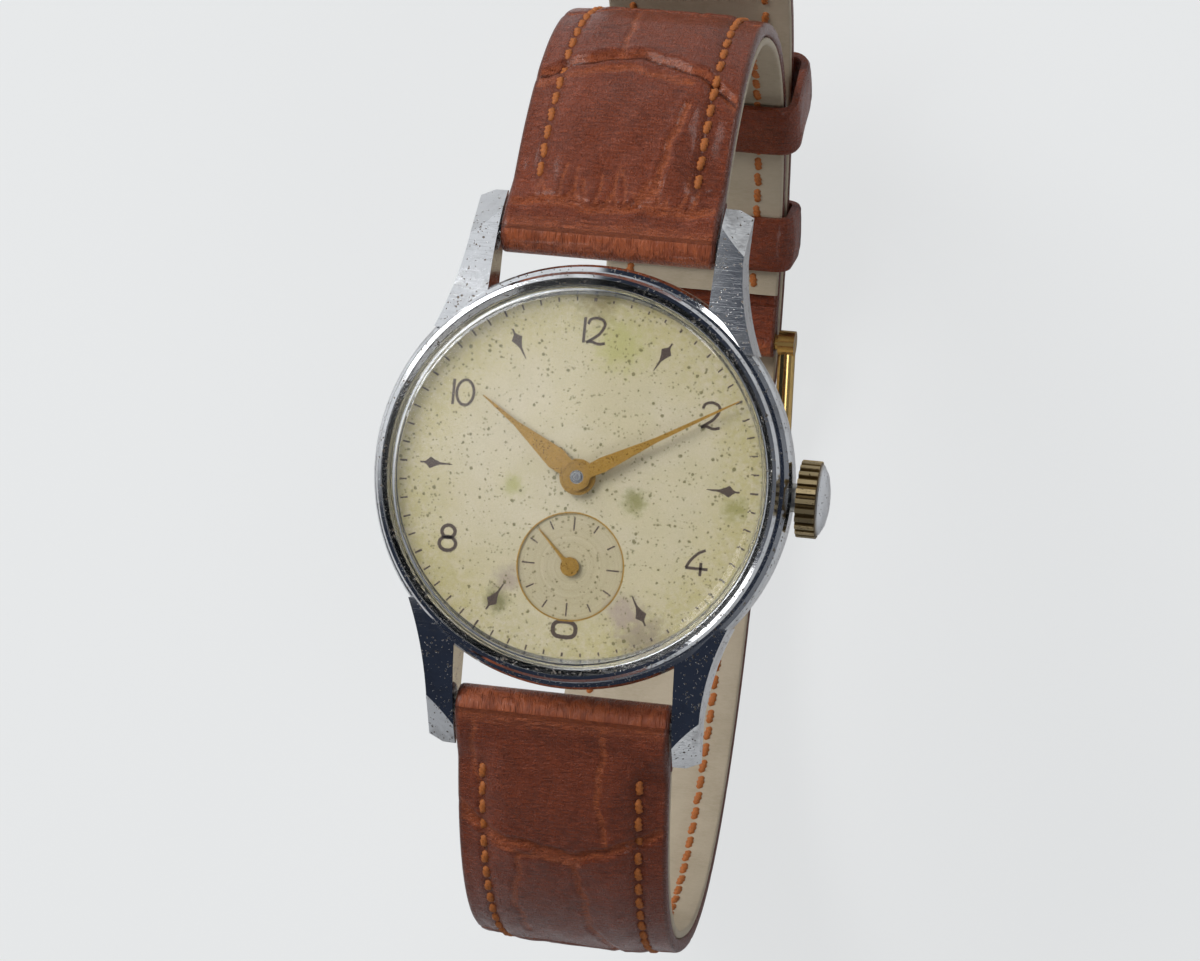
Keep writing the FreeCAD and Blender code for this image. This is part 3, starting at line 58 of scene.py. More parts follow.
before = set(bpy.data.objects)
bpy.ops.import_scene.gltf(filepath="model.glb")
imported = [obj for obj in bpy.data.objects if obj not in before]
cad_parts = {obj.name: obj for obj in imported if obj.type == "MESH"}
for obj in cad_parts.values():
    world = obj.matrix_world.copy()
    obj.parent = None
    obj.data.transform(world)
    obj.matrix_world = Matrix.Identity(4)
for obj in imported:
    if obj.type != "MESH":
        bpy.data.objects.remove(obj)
rest_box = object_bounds()

MM = 0.001

# where the frame puts the things that the dressing is fitted to, in metres
DIAL_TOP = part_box("dial")[1].z
BAR_LOW, BAR_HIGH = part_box("spring_bars")
BAR_RADIUS = (BAR_HIGH.z - BAR_LOW.z) / 2
BAR_Y = BAR_HIGH.y - BAR_RADIUS
BAR_Z = (BAR_HIGH.z + BAR_LOW.z) / 2
PIN_LOW, PIN_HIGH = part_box("buckle_bar")
PIN_RADIUS = (PIN_HIGH.z - PIN_LOW.z) / 2
PIN_Y, PIN_Z = (PIN_HIGH.y + PIN_LOW.y) / 2, (PIN_HIGH.z + PIN_LOW.z) / 2
CROWN_LOW, CROWN_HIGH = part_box("crown")
STEM_Z = (CROWN_LOW.z + CROWN_HIGH.z) / 2
FLOOR_Z = rest_box[0].z


# ---------------------------------------------------------------- settings


def length(name, description, default):
    """A size in metres."""
    return number(name, description, default, unit="LENGTH", precision=5)


def number(name, description, default, **kind):
    """A plain number, or an angle or share when its kind says so."""
    return FloatProperty(name=name, description=description, default=default, **kind)


def turn(name, description, degrees):
    """An angle, given in degrees."""
    return number(name, description, math.radians(degrees), subtype="ANGLE")


def colour(name, description, default):
    """A colour as red, green and blue."""
    return FloatVectorProperty(name=name, description=description, default=default, subtype="COLOR", size=3,
                               min=0.0, max=1.0)


class StrapSettings(bpy.types.PropertyGroup):
    """The leather strap on its buckled loop"""

    loop_half_width: length("Loop half width", "Half the loop's size along 12 to 6", 39.1 * MM)
    loop_centre_z: length("Loop centre", "Height of the middle of the loop", -20.3 * MM)
    squareness: number("Squareness", "Exponent of the loop's rounded outline", 2.3)
    tail_length: length("Tail length", "From the bar at 6 to the tip of the tail", 134.0 * MM)
    bar_thickness: length("Thickness at the bars", "Leather and lining at the spring bars", 3.4 * MM)
    thickness: length("Thickness", "Leather and lining past the padding", 2.2 * MM)
    padding_run: length("Padding run", "How far the padding takes to thin out", 24.0 * MM)
    padding_crown: length("Padding crown", "How far the padding stands proud near the lugs", 0.4 * MM)
    edge_thickness: length("Edge thickness", "Leather and lining at the painted edge", 1.95 * MM)
    lining: length("Lining thickness", "The lining leather alone", 0.7 * MM)
    turned_length: length("Turned length", "Leather folded under at each bar", 4.5 * MM)
    half_at_bars: length("Half width at the bars", "Half the strap's width between the lugs", 8.8 * MM)
    half_at_back: length("Half width at the back", "Half the strap's width at the buckle", 8.0 * MM)
    roll_radius: length("Roll radius", "The leather round a spring bar", 1.76 * MM)
    end_roll_radius: length("End roll radius", "The leather round the buckle's bar", 1.45 * MM)
    tip_corner: length("Tip corner", "Radius of the tail's two corners", 3.2 * MM)
    hole_pitch: length("Hole pitch", "From one buckle hole to the next", 6.5 * MM)
    hole_radius: length("Hole radius", "A punched buckle hole", 0.8 * MM)
    tail_lift: length("Tail lift", "How far the tail rides over the buckle half", 2.95 * MM)
    tail_spring: length("Tail spring", "How far the tip of the tail stands off", 7.0 * MM)
    stitch_inset: length("Stitch inset", "From the edge to the stitching", 2.3 * MM)
    stitch_pitch: length("Stitch pitch", "From one stitch to the next", 1.65 * MM)
    stitch_length: length("Stitch length", "One stitch on the surface", 1.46 * MM)
    thread_radius: length("Thread radius", "The sewing thread", 0.31 * MM)
    keeper_width: length("Keeper width", "Each keeper along the strap", 5.0 * MM)
    keeper_wall: length("Keeper wall", "The keeper's leather", 0.9 * MM)
    leather: colour("Leather", "The scales of the leather", (0.285, 0.056, 0.019))
    crease: colour("Crease", "The burnished creases", (0.50, 0.135, 0.05))
    thread: colour("Thread", "The stitching", (0.62, 0.185, 0.035))
    lining_colour: colour("Lining", "The lining leather", (0.50, 0.42, 0.30))


class DialSettings(bpy.types.PropertyGroup):
    """The dial's lacquer and printing"""

    ink: colour("Ink", "The printed figures", (0.055, 0.035, 0.028))
    lacquer: colour("Lacquer", "The dial away from its edge", (0.585, 0.525, 0.385))
    edge_tint: colour("Edge tint", "The lacquer where it has yellowed", (0.47, 0.41, 0.19))
    figure_radius: length("Figure radius", "Middle of the hour figures", 11.65 * MM)
    figure_height: length("Figure height", "Height of an hour figure", 2.05 * MM)
    stroke: length("Stroke", "Width of a printed line", 0.23 * MM)
    print_height: length("Print height", "How far the ink stands proud", 0.014 * MM)
    minute_radius: length("Minute radius", "Middle of the minute marks", 14.3 * MM)
    seconds_y: length("Seconds centre", "Centre of the small seconds dial", -7.15 * MM)
    seconds_radius: length("Seconds radius", "Radius of the small seconds dial", 4.3 * MM)
    seconds_recess: length("Seconds recess", "Depth of the small seconds dial", 0.12 * MM)


class MetalSettings(bpy.types.PropertyGroup):
    """The metals of the case, hands and buckle"""

    chrome: colour("Chrome", "The plated case", (0.80, 0.81, 0.82))
    gilt: colour("Gilt", "The hands", (0.60, 0.36, 0.09))
    buckle_gilt: colour("Buckle gilt", "The buckle", (0.80, 0.54, 0.20))
    tarnish: colour("Tarnish", "What gathers in pits and flutes", (0.09, 0.06, 0.03))
    pitting: number("Pitting", "Share of the plating that is pitted", 0.42, min=0.0, max=1.0,
                    subtype="FACTOR")


class StageSettings(bpy.types.PropertyGroup):
    """The floor, lamps and camera"""

    tip: turn("Tip", "The camera's turn about the 3 to 9 line", 0.6)
    swing: turn("Swing", "The camera's turn about the 12 to 6 line", -10.13)
    roll: turn("Roll", "The camera's turn about its own line of sight", -5.51)
    distance: length("Distance", "From the dial to the camera", 308.6 * MM)
    shift_x: length("Sideways", "The dial's place across the picture", -1.646 * MM)
    shift_y: length("Upwards", "The dial's place up the picture", 0.278 * MM)
    lens: number("Lens", "Focal length", 116.1, unit="CAMERA")
    lamp_side: length("Lamp side", "Side of the key lamp; the others are smaller", 0.30)


# ---------------------------------------------------------------- node trees


class Tree:
    """Adds nodes to a shader tree, and joins them as they are added."""

    def __init__(self, tree):
        self.tree = tree

    def add(self, kind, settings=None, **values):
        """A node with its settings, and its inputs by name."""
        node = self.tree.nodes.new(kind)
        for key, value in (settings or {}).items():
            setattr(node, key, value)
        self.fill(node.inputs, **values)
        return node

    def fill(self, sockets, **values):
        """Gives each named socket its number, colour or link."""
        for key, value in values.items():
            self.put(sockets[key.replace("_", " ")], value)

    def put(self, socket, value):
        if isinstance(value, bpy.types.NodeSocket):
            self.tree.links.new(value, socket)
        elif isinstance(value, tuple) and len(value) == 3 and socket.type == "RGBA":
            socket.default_value = (*value, 1.0)
        else:
            socket.default_value = value

    def choose(self, kind, settings, inputs, output):
        """A node whose inputs are told by place or name, since several share one name."""
        node = self.add(kind, settings)
        for key, value in inputs.items():
            self.put(node.inputs[key], value)
        return node.outputs[output]

    def math(self, operation, first, second, clamp=False):
        settings = {"operation": operation, "use_clamp": clamp}
        return self.choose("ShaderNodeMath", settings, {0: first, 1: second}, 0)

    def times(self, first, second, clamp=False):
        return self.math("MULTIPLY", first, second, clamp)

    def plus(self, first, second, clamp=False):
        return self.math("ADD", first, second, clamp)

    def minus(self, first, second):
        return self.math("SUBTRACT", first, second)

    def range(self, value, low, high, start=0.0, end=1.0, smooth=True):
        """value from low..high to start..end."""
        settings = {"interpolation_type": "SMOOTHSTEP" if smooth else "LINEAR"}
        node = self.add("ShaderNodeMapRange", settings, Value=value, From_Min=low, From_Max=high,
                        To_Min=start, To_Max=end)
        return node.outputs["Result"]

    def mix(self, factor, first, second):
        """A colour between two."""
        inputs = {0: factor, 6: first, 7: second}
        return self.choose("ShaderNodeMix", {"data_type": "RGBA"}, inputs, 2)

    def blend(self, factor, first, second):
        """A number between two."""
        inputs = {0: factor, 2: first, 3: second}
        return self.choose("ShaderNodeMix", {"data_type": "FLOAT"}, inputs, 0)

    def vector(self, operation, first, second):
        inputs = {0: first, "Scale" if operation == "SCALE" else 1: second}
        return self.choose("ShaderNodeVectorMath", {"operation": operation}, inputs, "Vector")

    def size(self, vector):
        """The length of a vector."""
        return self.choose("ShaderNodeVectorMath", {"operation": "LENGTH"}, {0: vector}, "Value")

    def flat(self, place):
        """A place pressed flat along Z, for what goes round the middle of the dial."""
        return self.vector("MULTIPLY", place, (1.0, 1.0, 0.0))

    def place(self):
        """Where a point is on its piece, in millimetres of the frame."""
        coordinates = self.add("ShaderNodeTexCoord").outputs["Object"]
        return self.vector("SCALE", coordinates, 1.0 / MM)

    def noise(self, place, scale, detail=3.0, roughness=0.55, distortion=0.0):
        node = self.add("ShaderNodeTexNoise", Vector=place, Scale=scale, Detail=detail, Roughness=roughness,
                        Distortion=distortion)
        return node.outputs[0]

    def cells(self, place, scale):
        """The distance to the nearest of scattered points."""
        return self.add("ShaderNodeTexVoronoi", Vector=place, Scale=scale).outputs["Distance"]

    def bump(self, height, distance, strength=1.0):
        node = self.add("ShaderNodeBump", Strength=strength, Distance=distance, Height=height)
        return node.outputs["Normal"]

    def group(self, name, place, **values):
        """The outputs of a shared node group that reads a place."""
        return self.add("ShaderNodeGroup", {"node_tree": shared(name)}, Place=place, **values).outputs

    def attribute(self, name, output):
        """What a piece's points store under a name."""
        return self.add("ShaderNodeAttribute", {"attribute_name": name}).outputs[output]


def new_group(name, inputs, outputs):
    """An empty node group with its sockets: the tree, its inputs and the node that collects its outputs."""
    tree = bpy.data.node_groups.new(name, "ShaderNodeTree")
    for label, default in inputs.items():
        kind = "NodeSocketVector" if default is None else "NodeSocketFloat"
        socket = tree.interface.new_socket(label, in_out="INPUT", socket_type=kind)
        if default is not None:
            socket.default_value = default
    for label in outputs:
        tree.interface.new_socket(label, in_out="OUTPUT", socket_type="NodeSocketFloat")
    graph = Tree(tree)
    return graph, graph.add("NodeGroupInput").outputs, graph.add("NodeGroupOutput").inputs


def make_pitting():
    """Pits and specks in a plated or lacquered surface."""
    inputs = {"Place": None, "Scale": 3.0, "Cover": 0.3}
    graph, given, out = new_group("pitting", inputs, ["Pits", "Height"])
    place, scale = given["Place"], given["Scale"]
    small = graph.cells(place, scale)
    patches = graph.noise(place, graph.times(scale, 0.22), 4.0, 0.65)
    odd = graph.noise(place, graph.times(scale, 0.9), 2.0, 0.5)
    reach = graph.times(graph.range(patches, 0.38, 0.62, 0.35, 1.0), given["Cover"])
    reach = graph.times(reach, graph.range(odd, 0.40, 0.60))
    pits = graph.range(graph.minus(reach, small), -0.02, 0.05)
    graph.fill(out, Pits=pits, Height=graph.minus(1.0, pits))
    return graph.tree


def make_hairlines():
    """Fine scratches left by wiping, lying every way."""
    graph, given, out = new_group("hairlines", {"Place": None, "Scale": 1.0}, ["Lines"])
    total = None
    for angle in (25.0, 80.0, 145.0):
        turned = graph.add("ShaderNodeMapping", {"vector_type": "POINT"}, Vector=given["Place"],
                           Rotation=(0.3, 0.2, math.radians(angle)), Scale=(0.25, 9.0, 3.0))
        strand = graph.noise(turned.outputs[0], given["Scale"], 2.0, 0.5)
        line = graph.range(strand, 0.60, 0.72)
        total = line if total is None else graph.math("MAXIMUM", total, line)
    graph.put(out["Lines"], total)
    return graph.tree


def make_turned_grain():
    """Rings left by a lathe or a spinning brush, round the Z axis of the place given."""
    graph, given, out = new_group("turned_grain", {"Place": None, "Scale": 6.0}, ["Rings", "Soft"])
    place, scale = given["Place"], given["Scale"]
    along = graph.add("ShaderNodeCombineXYZ", X=graph.size(graph.flat(place)))
    rings = graph.noise(along.outputs[0], scale, 4.0, 0.7)
    soft = graph.noise(place, graph.times(scale, 0.2), 3.0)
    graph.fill(out, Rings=graph.range(rings, 0.3, 0.7), Soft=soft)
    return graph.tree


def make_blotches():
    """Soft uneven areas of ageing or dirt."""
    inputs = {"Place": None, "Scale": 0.3, "Cover": 0.5}
    graph, given, out = new_group("blotches", inputs, ["Cover", "Fine"])
    place, scale = given["Place"], given["Scale"]
    broad = graph.noise(place, scale, 5.0, 0.62, 0.4)
    edge = graph.minus(0.8, graph.times(given["Cover"], 0.6))
    fine = graph.noise(place, graph.times(scale, 14.0), 4.0, 0.7)
    graph.fill(out, Cover=graph.range(graph.minus(broad, edge), -0.12, 0.12), Fine=fine)
    return graph.tree


def make_hide_grain():
    """The pores and fine cross wrinkles of embossed leather."""
    outputs = ["Pores", "Wrinkles", "Height"]
    graph, given, out = new_group("hide_grain", {"Place": None, "Scale": 1.0}, outputs)
    place, scale = given["Place"], given["Scale"]
    across = graph.vector("MULTIPLY", place, (0.9, 3.6, 2.0))
    wrinkles = graph.noise(across, graph.times(scale, 1.1), 6.0, 0.66, 0.8)
    lengthwise = graph.vector("MULTIPLY", place, (4.5, 0.8, 2.0))
    folds = graph.noise(lengthwise, graph.times(scale, 0.7), 4.0, 0.6, 0.6)
    pores = graph.cells(place, graph.times(scale, 5.5))
    height = graph.plus(graph.times(wrinkles, 0.8), graph.times(folds, 0.35))
    height = graph.plus(height, graph.times(graph.range(pores, 0.0, 0.5), 0.22))
    graph.fill(out, Pores=graph.range(pores, 0.05, 0.3), Wrinkles=graph.range(wrinkles, 0.36, 0.64),
               Height=height)
    return graph.tree


GROUP_MAKERS = {
    "pitting": make_pitting,
    "hairlines": make_hairlines,
    "turned_grain": make_turned_grain,
    "blotches": make_blotches,
    "hide_grain": make_hide_grain,
}


def shared(name):
    """The node group of that name, built the first time it is asked for."""
    return bpy.data.node_groups.get(name) or GROUP_MAKERS[name]()


def new_material(name):
    """A material with only its principled shader: the material, its tree and the shader's inputs."""
    material = bpy.data.materials.new(name)
    material.use_nodes = True
    material.node_tree.nodes.clear()
    graph = Tree(material.node_tree)
    shader = graph.add("ShaderNodeBsdfPrincipled")
    graph.add("ShaderNodeOutputMaterial", Surface=shader.outputs[0])
    return material, graph, shader.inputs


def mix_over(graph, ray, share, other):
    """Shows another shader in place of a material's own to one kind of ray, as much as its share says."""
    surface = graph.tree.get_output_node("ALL").inputs["Surface"]
    factor = graph.add("ShaderNodeLightPath").outputs[ray]
    if share < 1.0:
        factor = graph.times(factor, share)
    inputs = {0: factor, 1: surface.links[0].from_socket, 2: other.outputs[0]}
    graph.put(surface, graph.choose("ShaderNodeMixShader", {}, inputs, 0))


def aged_material(name, scale, near, far, gloss, relief=None, coat=0.0):
    """A plain material between two colours in soft blotches.

    gloss is its lowest and highest roughness, and relief the bump's height and strength."""
    material, graph, shader = new_material(name)
    aged = graph.group("blotches", graph.place(), Scale=scale, Cover=0.5)
    graph.fill(shader, Base_Color=graph.mix(aged["Cover"], near, far), Coat_Weight=coat,
               Roughness=graph.range(aged["Fine"], 0.3, 0.7, *gloss))
    if relief:
        graph.fill(shader, Normal=graph.bump(aged["Fine"], *relief))
    return material


def metal(name, base, roughness, grain=0.1, pits=0.0, tarnish=None, tarnish_cover=0.3, pit_scale=4.0):
    """A metal with turned grain, wiping scratches, pits and tarnish, each as strong as asked."""
    material, graph, shader = new_material(name)
    place = graph.place()
    turned = graph.group("turned_grain", place, Scale=5.0)
    lines = graph.group("hairlines", place, Scale=1.4)["Lines"]
    pitting = graph.group("pitting", place, Scale=pit_scale, Cover=pits)
    aged = graph.group("blotches", place, Scale=0.35, Cover=tarnish_cover)
    dull = tuple(tarnish or [0.5 * channel for channel in base])
    worn = tuple(0.86 * channel for channel in base)
    tone = graph.mix(turned["Soft"], worn, tuple(base))
    tone = graph.mix(graph.times(aged["Cover"], graph.times(aged["Fine"], 0.6)), tone, dull)
    tone = graph.mix(graph.times(pitting["Pits"], 0.85), tone, dull)
    rough = graph.plus(roughness, graph.times(turned["Rings"], 0.6 * grain))
    rough = graph.plus(rough, graph.times(lines, 0.10))
    rough = graph.plus(rough, graph.times(pitting["Pits"], 0.35))
    rough = graph.plus(rough, graph.times(aged["Cover"], 0.07), clamp=True)
    height = graph.times(turned["Rings"], grain)
    height = graph.minus(height, graph.times(lines, 0.12))
    height = graph.minus(height, graph.times(pitting["Pits"], 1.2))
    normal = graph.bump(height, 0.012 * MM, 0.6)
    graph.fill(shader, Base_Color=tone, Roughness=rough, Metallic=1.0, Normal=normal)
    return material


# ---------------------------------------------------------------- finishes


def crown_metal():
    """Chrome on the crown's end, worn down to dark brass between its flutes."""
    settings = bpy.context.scene.watch_metal
    material, graph, shader = new_material("worn_crown")
    place = graph.place()
    stem = graph.vector("SUBTRACT", place, (0.0, 0.0, STEM_Z / MM))
    around = graph.vector("MULTIPLY", stem, (0.0, 1.0, 1.0))
    radius = graph.size(around)
    outer, end = (CROWN_HIGH.z - CROWN_LOW.z) / 2 / MM, CROWN_HIGH.x / MM
    flank = graph.range(radius, outer - 0.75, outer - 0.35)
    tips = graph.range(radius, outer - 0.12, outer - 0.02)
    across = graph.add("ShaderNodeSeparateXYZ", Vector=place).outputs["X"]
    domed = graph.range(across, end - 0.75, end - 0.45)
    aged = graph.group("blotches", place, Scale=1.1, Cover=0.5)
    pitting = graph.group("pitting", place, Scale=5.0, Cover=0.4)
    brass = graph.mix(aged["Fine"], (0.045, 0.030, 0.014), (0.26, 0.175, 0.07))
    brass = graph.mix(tips, brass, (0.46, 0.36, 0.20))
    bare = graph.times(flank, graph.minus(1.0, domed))
    tone = graph.mix(bare, tuple(settings.chrome), brass)
    tone = graph.mix(graph.times(pitting["Pits"], 0.8), tone, tuple(settings.tarnish))
    rough = graph.blend(bare, 0.12, graph.range(aged["Fine"], 0.3, 0.7, 0.32, 0.55))
    rough = graph.plus(rough, graph.times(pitting["Pits"], 0.3), clamp=True)
    height = graph.minus(graph.times(aged["Fine"], 0.5), pitting["Pits"])
    normal = graph.bump(height, 0.02 * MM, 0.7)
    graph.fill(shader, Base_Color=tone, Roughness=rough, Metallic=1.0, Normal=normal)
    return material


def centre_wheel_metal():
    """Gilt brass on the wheel, and bright steel on the arbor that comes up through the hands."""
    material, graph, shader = new_material("centre_wheel_metal")
    place = graph.place()
    arbor = graph.range(graph.size(graph.flat(place)), 0.85, 0.95, 1.0, 0.0)
    turned = graph.group("turned_grain", place, Scale=5.0)
    brass = graph.mix(turned["Soft"], (0.60, 0.44, 0.20), (0.72, 0.54, 0.27))
    steel = graph.mix(turned["Soft"], (0.42, 0.43, 0.45), (0.55, 0.56, 0.58))
    graph.fill(shader, Base_Color=graph.mix(arbor, brass, steel), Metallic=1.0,
               Roughness=graph.plus(0.14, graph.times(turned["Rings"], 0.2)),
               Normal=graph.bump(turned["Rings"], 0.008 * MM, 0.6))
    return material


def crystal_acrylic():
    """Clear acrylic with fine wiping marks, letting light through to the dial."""
    material, graph, shader = new_material("crystal_acrylic")
    place = graph.place()
    lines = graph.group("hairlines", place, Scale=2.2)["Lines"]
    haze = graph.group("blotches", place, Scale=0.4, Cover=0.5)
    rough = graph.plus(0.012, graph.times(lines, 0.03))
    graph.fill(shader, Base_Color=graph.mix(haze["Cover"], (0.99, 0.99, 0.98), (0.965, 0.97, 0.955)),
               Roughness=graph.plus(rough, graph.times(haze["Fine"], 0.01)), Metallic=0.0,
               Transmission_Weight=1.0, IOR=1.49, Normal=graph.bump(lines, 0.002 * MM, 0.25))
    mix_over(graph, "Is Shadow Ray", 1.0, graph.add("ShaderNodeBsdfTransparent"))
    return material


def ruby():
    """Polished synthetic ruby."""
    return aged_material("ruby", 2.0, (0.70, 0.05, 0.15), (0.55, 0.03, 0.10), gloss=(0.05, 0.12), coat=0.5)


def gasket_rubber():
    """Matt black rubber with a dusty bloom."""
    return aged_material("gasket_rubber", 0.8, (0.035, 0.035, 0.035), (0.075, 0.07, 0.066),
                         gloss=(0.6, 0.85), relief=(0.02 * MM, 0.5))


def stain(graph, place, centre, reach):
    """1 at a mark on the dial's centre, fading unevenly to 0 at its reach, in millimetres."""
    distance = graph.size(graph.vector("SUBTRACT", place, (*centre, DIAL_TOP / MM)))
    ragged = graph.noise(place, 1.6, 4.0, 0.7)
    distance = graph.plus(distance, graph.times(graph.minus(ragged, 0.5), 1.4 * reach))
    return graph.range(distance, 0.1 * reach, reach, 1.0, 0.0)


def dial_lacquer():
    """Aged silvered lacquer: yellowed towards the edge, specked, stained, with a turned small dial."""
    settings = bpy.context.scene.watch_dial
    material, graph, shader = new_material("dial_lacquer")
    place = graph.place()
    flat = graph.flat(place)
    radius = graph.size(flat)
    aged = graph.group("blotches", place, Scale=0.14, Cover=0.55)
    mottled = graph.group("blotches", place, Scale=0.5, Cover=0.5)
    small = graph.vector("SUBTRACT", flat, (0.0, settings.seconds_y / MM, 0.0))
    small_radius = settings.seconds_radius / MM
    inside = graph.range(graph.size(small), small_radius - 0.1, small_radius, 1.0, 0.0)
    turned = graph.group("turned_grain", small, Scale=4.5)
    edge = graph.times(graph.range(radius, 8.0, 15.5, 0.0, 0.8), graph.range(aged["Fine"], 0.30, 0.65))
    edge = graph.plus(edge, graph.times(aged["Cover"], 0.30), clamp=True)
    tone = graph.mix(edge, tuple(settings.lacquer), tuple(settings.edge_tint))
    tone = graph.mix(graph.range(mottled["Fine"], 0.42, 0.62, 0.0, 0.35), tone, (0.47, 0.42, 0.28))
    rings = graph.range(turned["Rings"], 0.0, 1.0, 0.0, 0.75, smooth=False)
    tone = graph.mix(graph.times(inside, rings), tone, (0.36, 0.31, 0.19))
    dirty = graph.mix(inside, (0.40, 0.33, 0.20), (0.47, 0.40, 0.25))
    tone = graph.mix(graph.times(inside, 0.35), tone, dirty)
    # each stain's centre and reach in millimetres, and its colour
    marks = (
        ((4.7, -1.5), 1.5, (0.20, 0.20, 0.05)), ((12.75, -1.3), 1.6, (0.27, 0.26, 0.07)),
        ((0.2, 14.2), 2.6, (0.22, 0.18, 0.07)), ((-5.6, -10.35), 1.5, (0.15, 0.15, 0.05)),
        ((6.4, -12.4), 3.0, (0.27, 0.22, 0.16)), ((-4.9, -8.6), 1.7, (0.36, 0.29, 0.24)),
        ((4.6, -10.4), 2.2, (0.38, 0.30, 0.26)), ((-5.2, -1.2), 1.3, (0.40, 0.38, 0.14)),
        ((2.4, 10.6), 3.2, (0.44, 0.42, 0.16)),
    )
    for centre, reach, mark in marks:
        tone = graph.mix(graph.times(stain(graph, place, centre, reach), 0.78), tone, mark)
    fine = graph.group("pitting", place, Scale=3.3, Cover=0.42)
    coarse = graph.group("pitting", place, Scale=1.7, Cover=0.30)
    specks = graph.math("MAXIMUM", graph.times(fine["Pits"], 0.62), graph.times(coarse["Pits"], 0.8))
    tone = graph.mix(specks, tone, (0.13, 0.115, 0.035))
    height = graph.minus(graph.times(mottled["Fine"], 0.6), specks)
    height = graph.plus(height, graph.times(inside, turned["Rings"]))
    graph.fill(shader, Base_Color=tone, Roughness=graph.range(mottled["Fine"], 0.3, 0.7, 0.40, 0.58),
               Metallic=0.15, Normal=graph.bump(height, 0.012 * MM, 0.6))
    return material


def dial_ink():
    """Dark brown ink, thin in places."""
    material, graph, shader = new_material("dial_ink")
    fine = graph.group("blotches", graph.place(), Scale=1.6, Cover=0.5)["Fine"]
    thin = graph.times(graph.range(fine, 0.50, 0.68), 0.65)
    ink = tuple(bpy.context.scene.watch_dial.ink)
    graph.fill(shader, Base_Color=graph.mix(thin, ink, (0.24, 0.17, 0.12)),
               Roughness=graph.range(fine, 0.3, 0.7, 0.45, 0.65), Normal=graph.bump(fine, 0.01 * MM, 0.5))
    return material


def strap_leather():
    """Polished brown leather, burnished lighter along its creases, with painted shade in its pores, at the
    bottoms of its deep creases and in its stitch grooves.
    """
    settings = bpy.context.scene.watch_strap
    material, graph, shader = new_material("strap_leather")
    place = graph.attribute("strap_place", "Vector")
    crease, edge = graph.attribute("strap_crease", "Fac"), graph.attribute("strap_edge_paint_and_groove_shade", "Fac")
    grain = graph.group("hide_grain", place, Scale=1.0)
    uneven = graph.group("blotches", place, Scale=0.22, Cover=0.5)
    dark = tuple(0.55 * channel for channel in settings.leather)
    tone = graph.mix(graph.times(uneven["Cover"], uneven["Fine"]), dark, tuple(settings.leather))
    tone = graph.mix(graph.times(grain["Wrinkles"], 0.6), tone, (0.36, 0.080, 0.030))
    # painted shade in the pores of the grain
    painted_pore_shade = graph.times(graph.minus(1.0, grain["Pores"]), 0.55)
    tone = graph.mix(painted_pore_shade, tone, (0.085, 0.022, 0.013))
    streaks = graph.range(grain["Wrinkles"], 0.0, 1.0, 0.35, 0.95)
    rubbed = graph.times(graph.range(crease, 0.05, 0.5, 0.0, 0.8), streaks, clamp=True)
    tone = graph.mix(rubbed, tone, tuple(settings.crease))
    # painted shade at the bottoms of the deepest creases
    tone = graph.mix(graph.range(crease, 0.78, 0.95, 0.0, 0.75), tone, (0.06, 0.014, 0.008))
    # the painted edge colour on the sides, also laid as painted shade in the stitch groove
    tone = graph.mix(edge, tone, (0.17, 0.045, 0.022))
    rough = graph.range(grain["Height"], 0.35, 0.95, 0.40, 0.20)
    graph.fill(shader, Base_Color=tone, Roughness=graph.plus(rough, graph.times(uneven["Fine"], 0.10)),
               Coat_Weight=graph.range(uneven["Fine"], 0.3, 0.7, 0.10, 0.32), Coat_Roughness=0.16,
               Specular_IOR_Level=0.28, Normal=graph.bump(grain["Height"], 0.36 * MM))
    return material


def lining_leather():
    """Smooth beige lining, a little soiled."""
    settings = bpy.context.scene.watch_strap
    material, graph, shader = new_material("lining_leather")
    place = graph.place()
    soiled = graph.group("blotches", place, Scale=0.16, Cover=0.45)
    grain = graph.group("hide_grain", place, Scale=1.3)
    tone = graph.mix(graph.times(soiled["Cover"], 0.5), tuple(settings.lining_colour), (0.36, 0.29, 0.19))
    tone = graph.mix(graph.times(grain["Wrinkles"], 0.3), tone, (0.58, 0.50, 0.38))
    graph.fill(shader, Base_Color=tone, Roughness=graph.range(soiled["Fine"], 0.3, 0.7, 0.55, 0.72),
               Normal=graph.bump(grain["Height"], 0.05 * MM, 0.6))
    return material


def sewing_thread():
    """Waxed orange thread."""
    material, graph, shader = new_material("sewing_thread")
    fine = graph.group("blotches", graph.place(), Scale=1.4, Cover=0.5)["Fine"]
    light = tuple(bpy.context.scene.watch_strap.thread)
    dark = tuple(0.42 * channel for channel in light)
    graph.fill(shader, Base_Color=graph.mix(graph.range(fine, 0.35, 0.62), dark, light),
               Roughness=graph.range(fine, 0.3, 0.7, 0.55, 0.75), Normal=graph.bump(fine, 0.03 * MM, 0.7))
    return material


def paint(nodes, material):
    """One finish on CAD nodes, with smooth normals between their sharp edges."""
    for name in nodes:
        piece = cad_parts[name]
        piece.data.materials.clear()
        piece.data.materials.append(material)
        soften(piece.data, 32.0)


def soften(mesh, sharpest):
    """Smooth shading, but not across an edge sharper than this angle in degrees."""
    mesh.polygons.foreach_set("use_smooth", np.ones(len(mesh.polygons), bool))
    mesh.set_sharp_from_angle(angle=math.radians(sharpest))


# ---------------------------------------------------------------- shapes


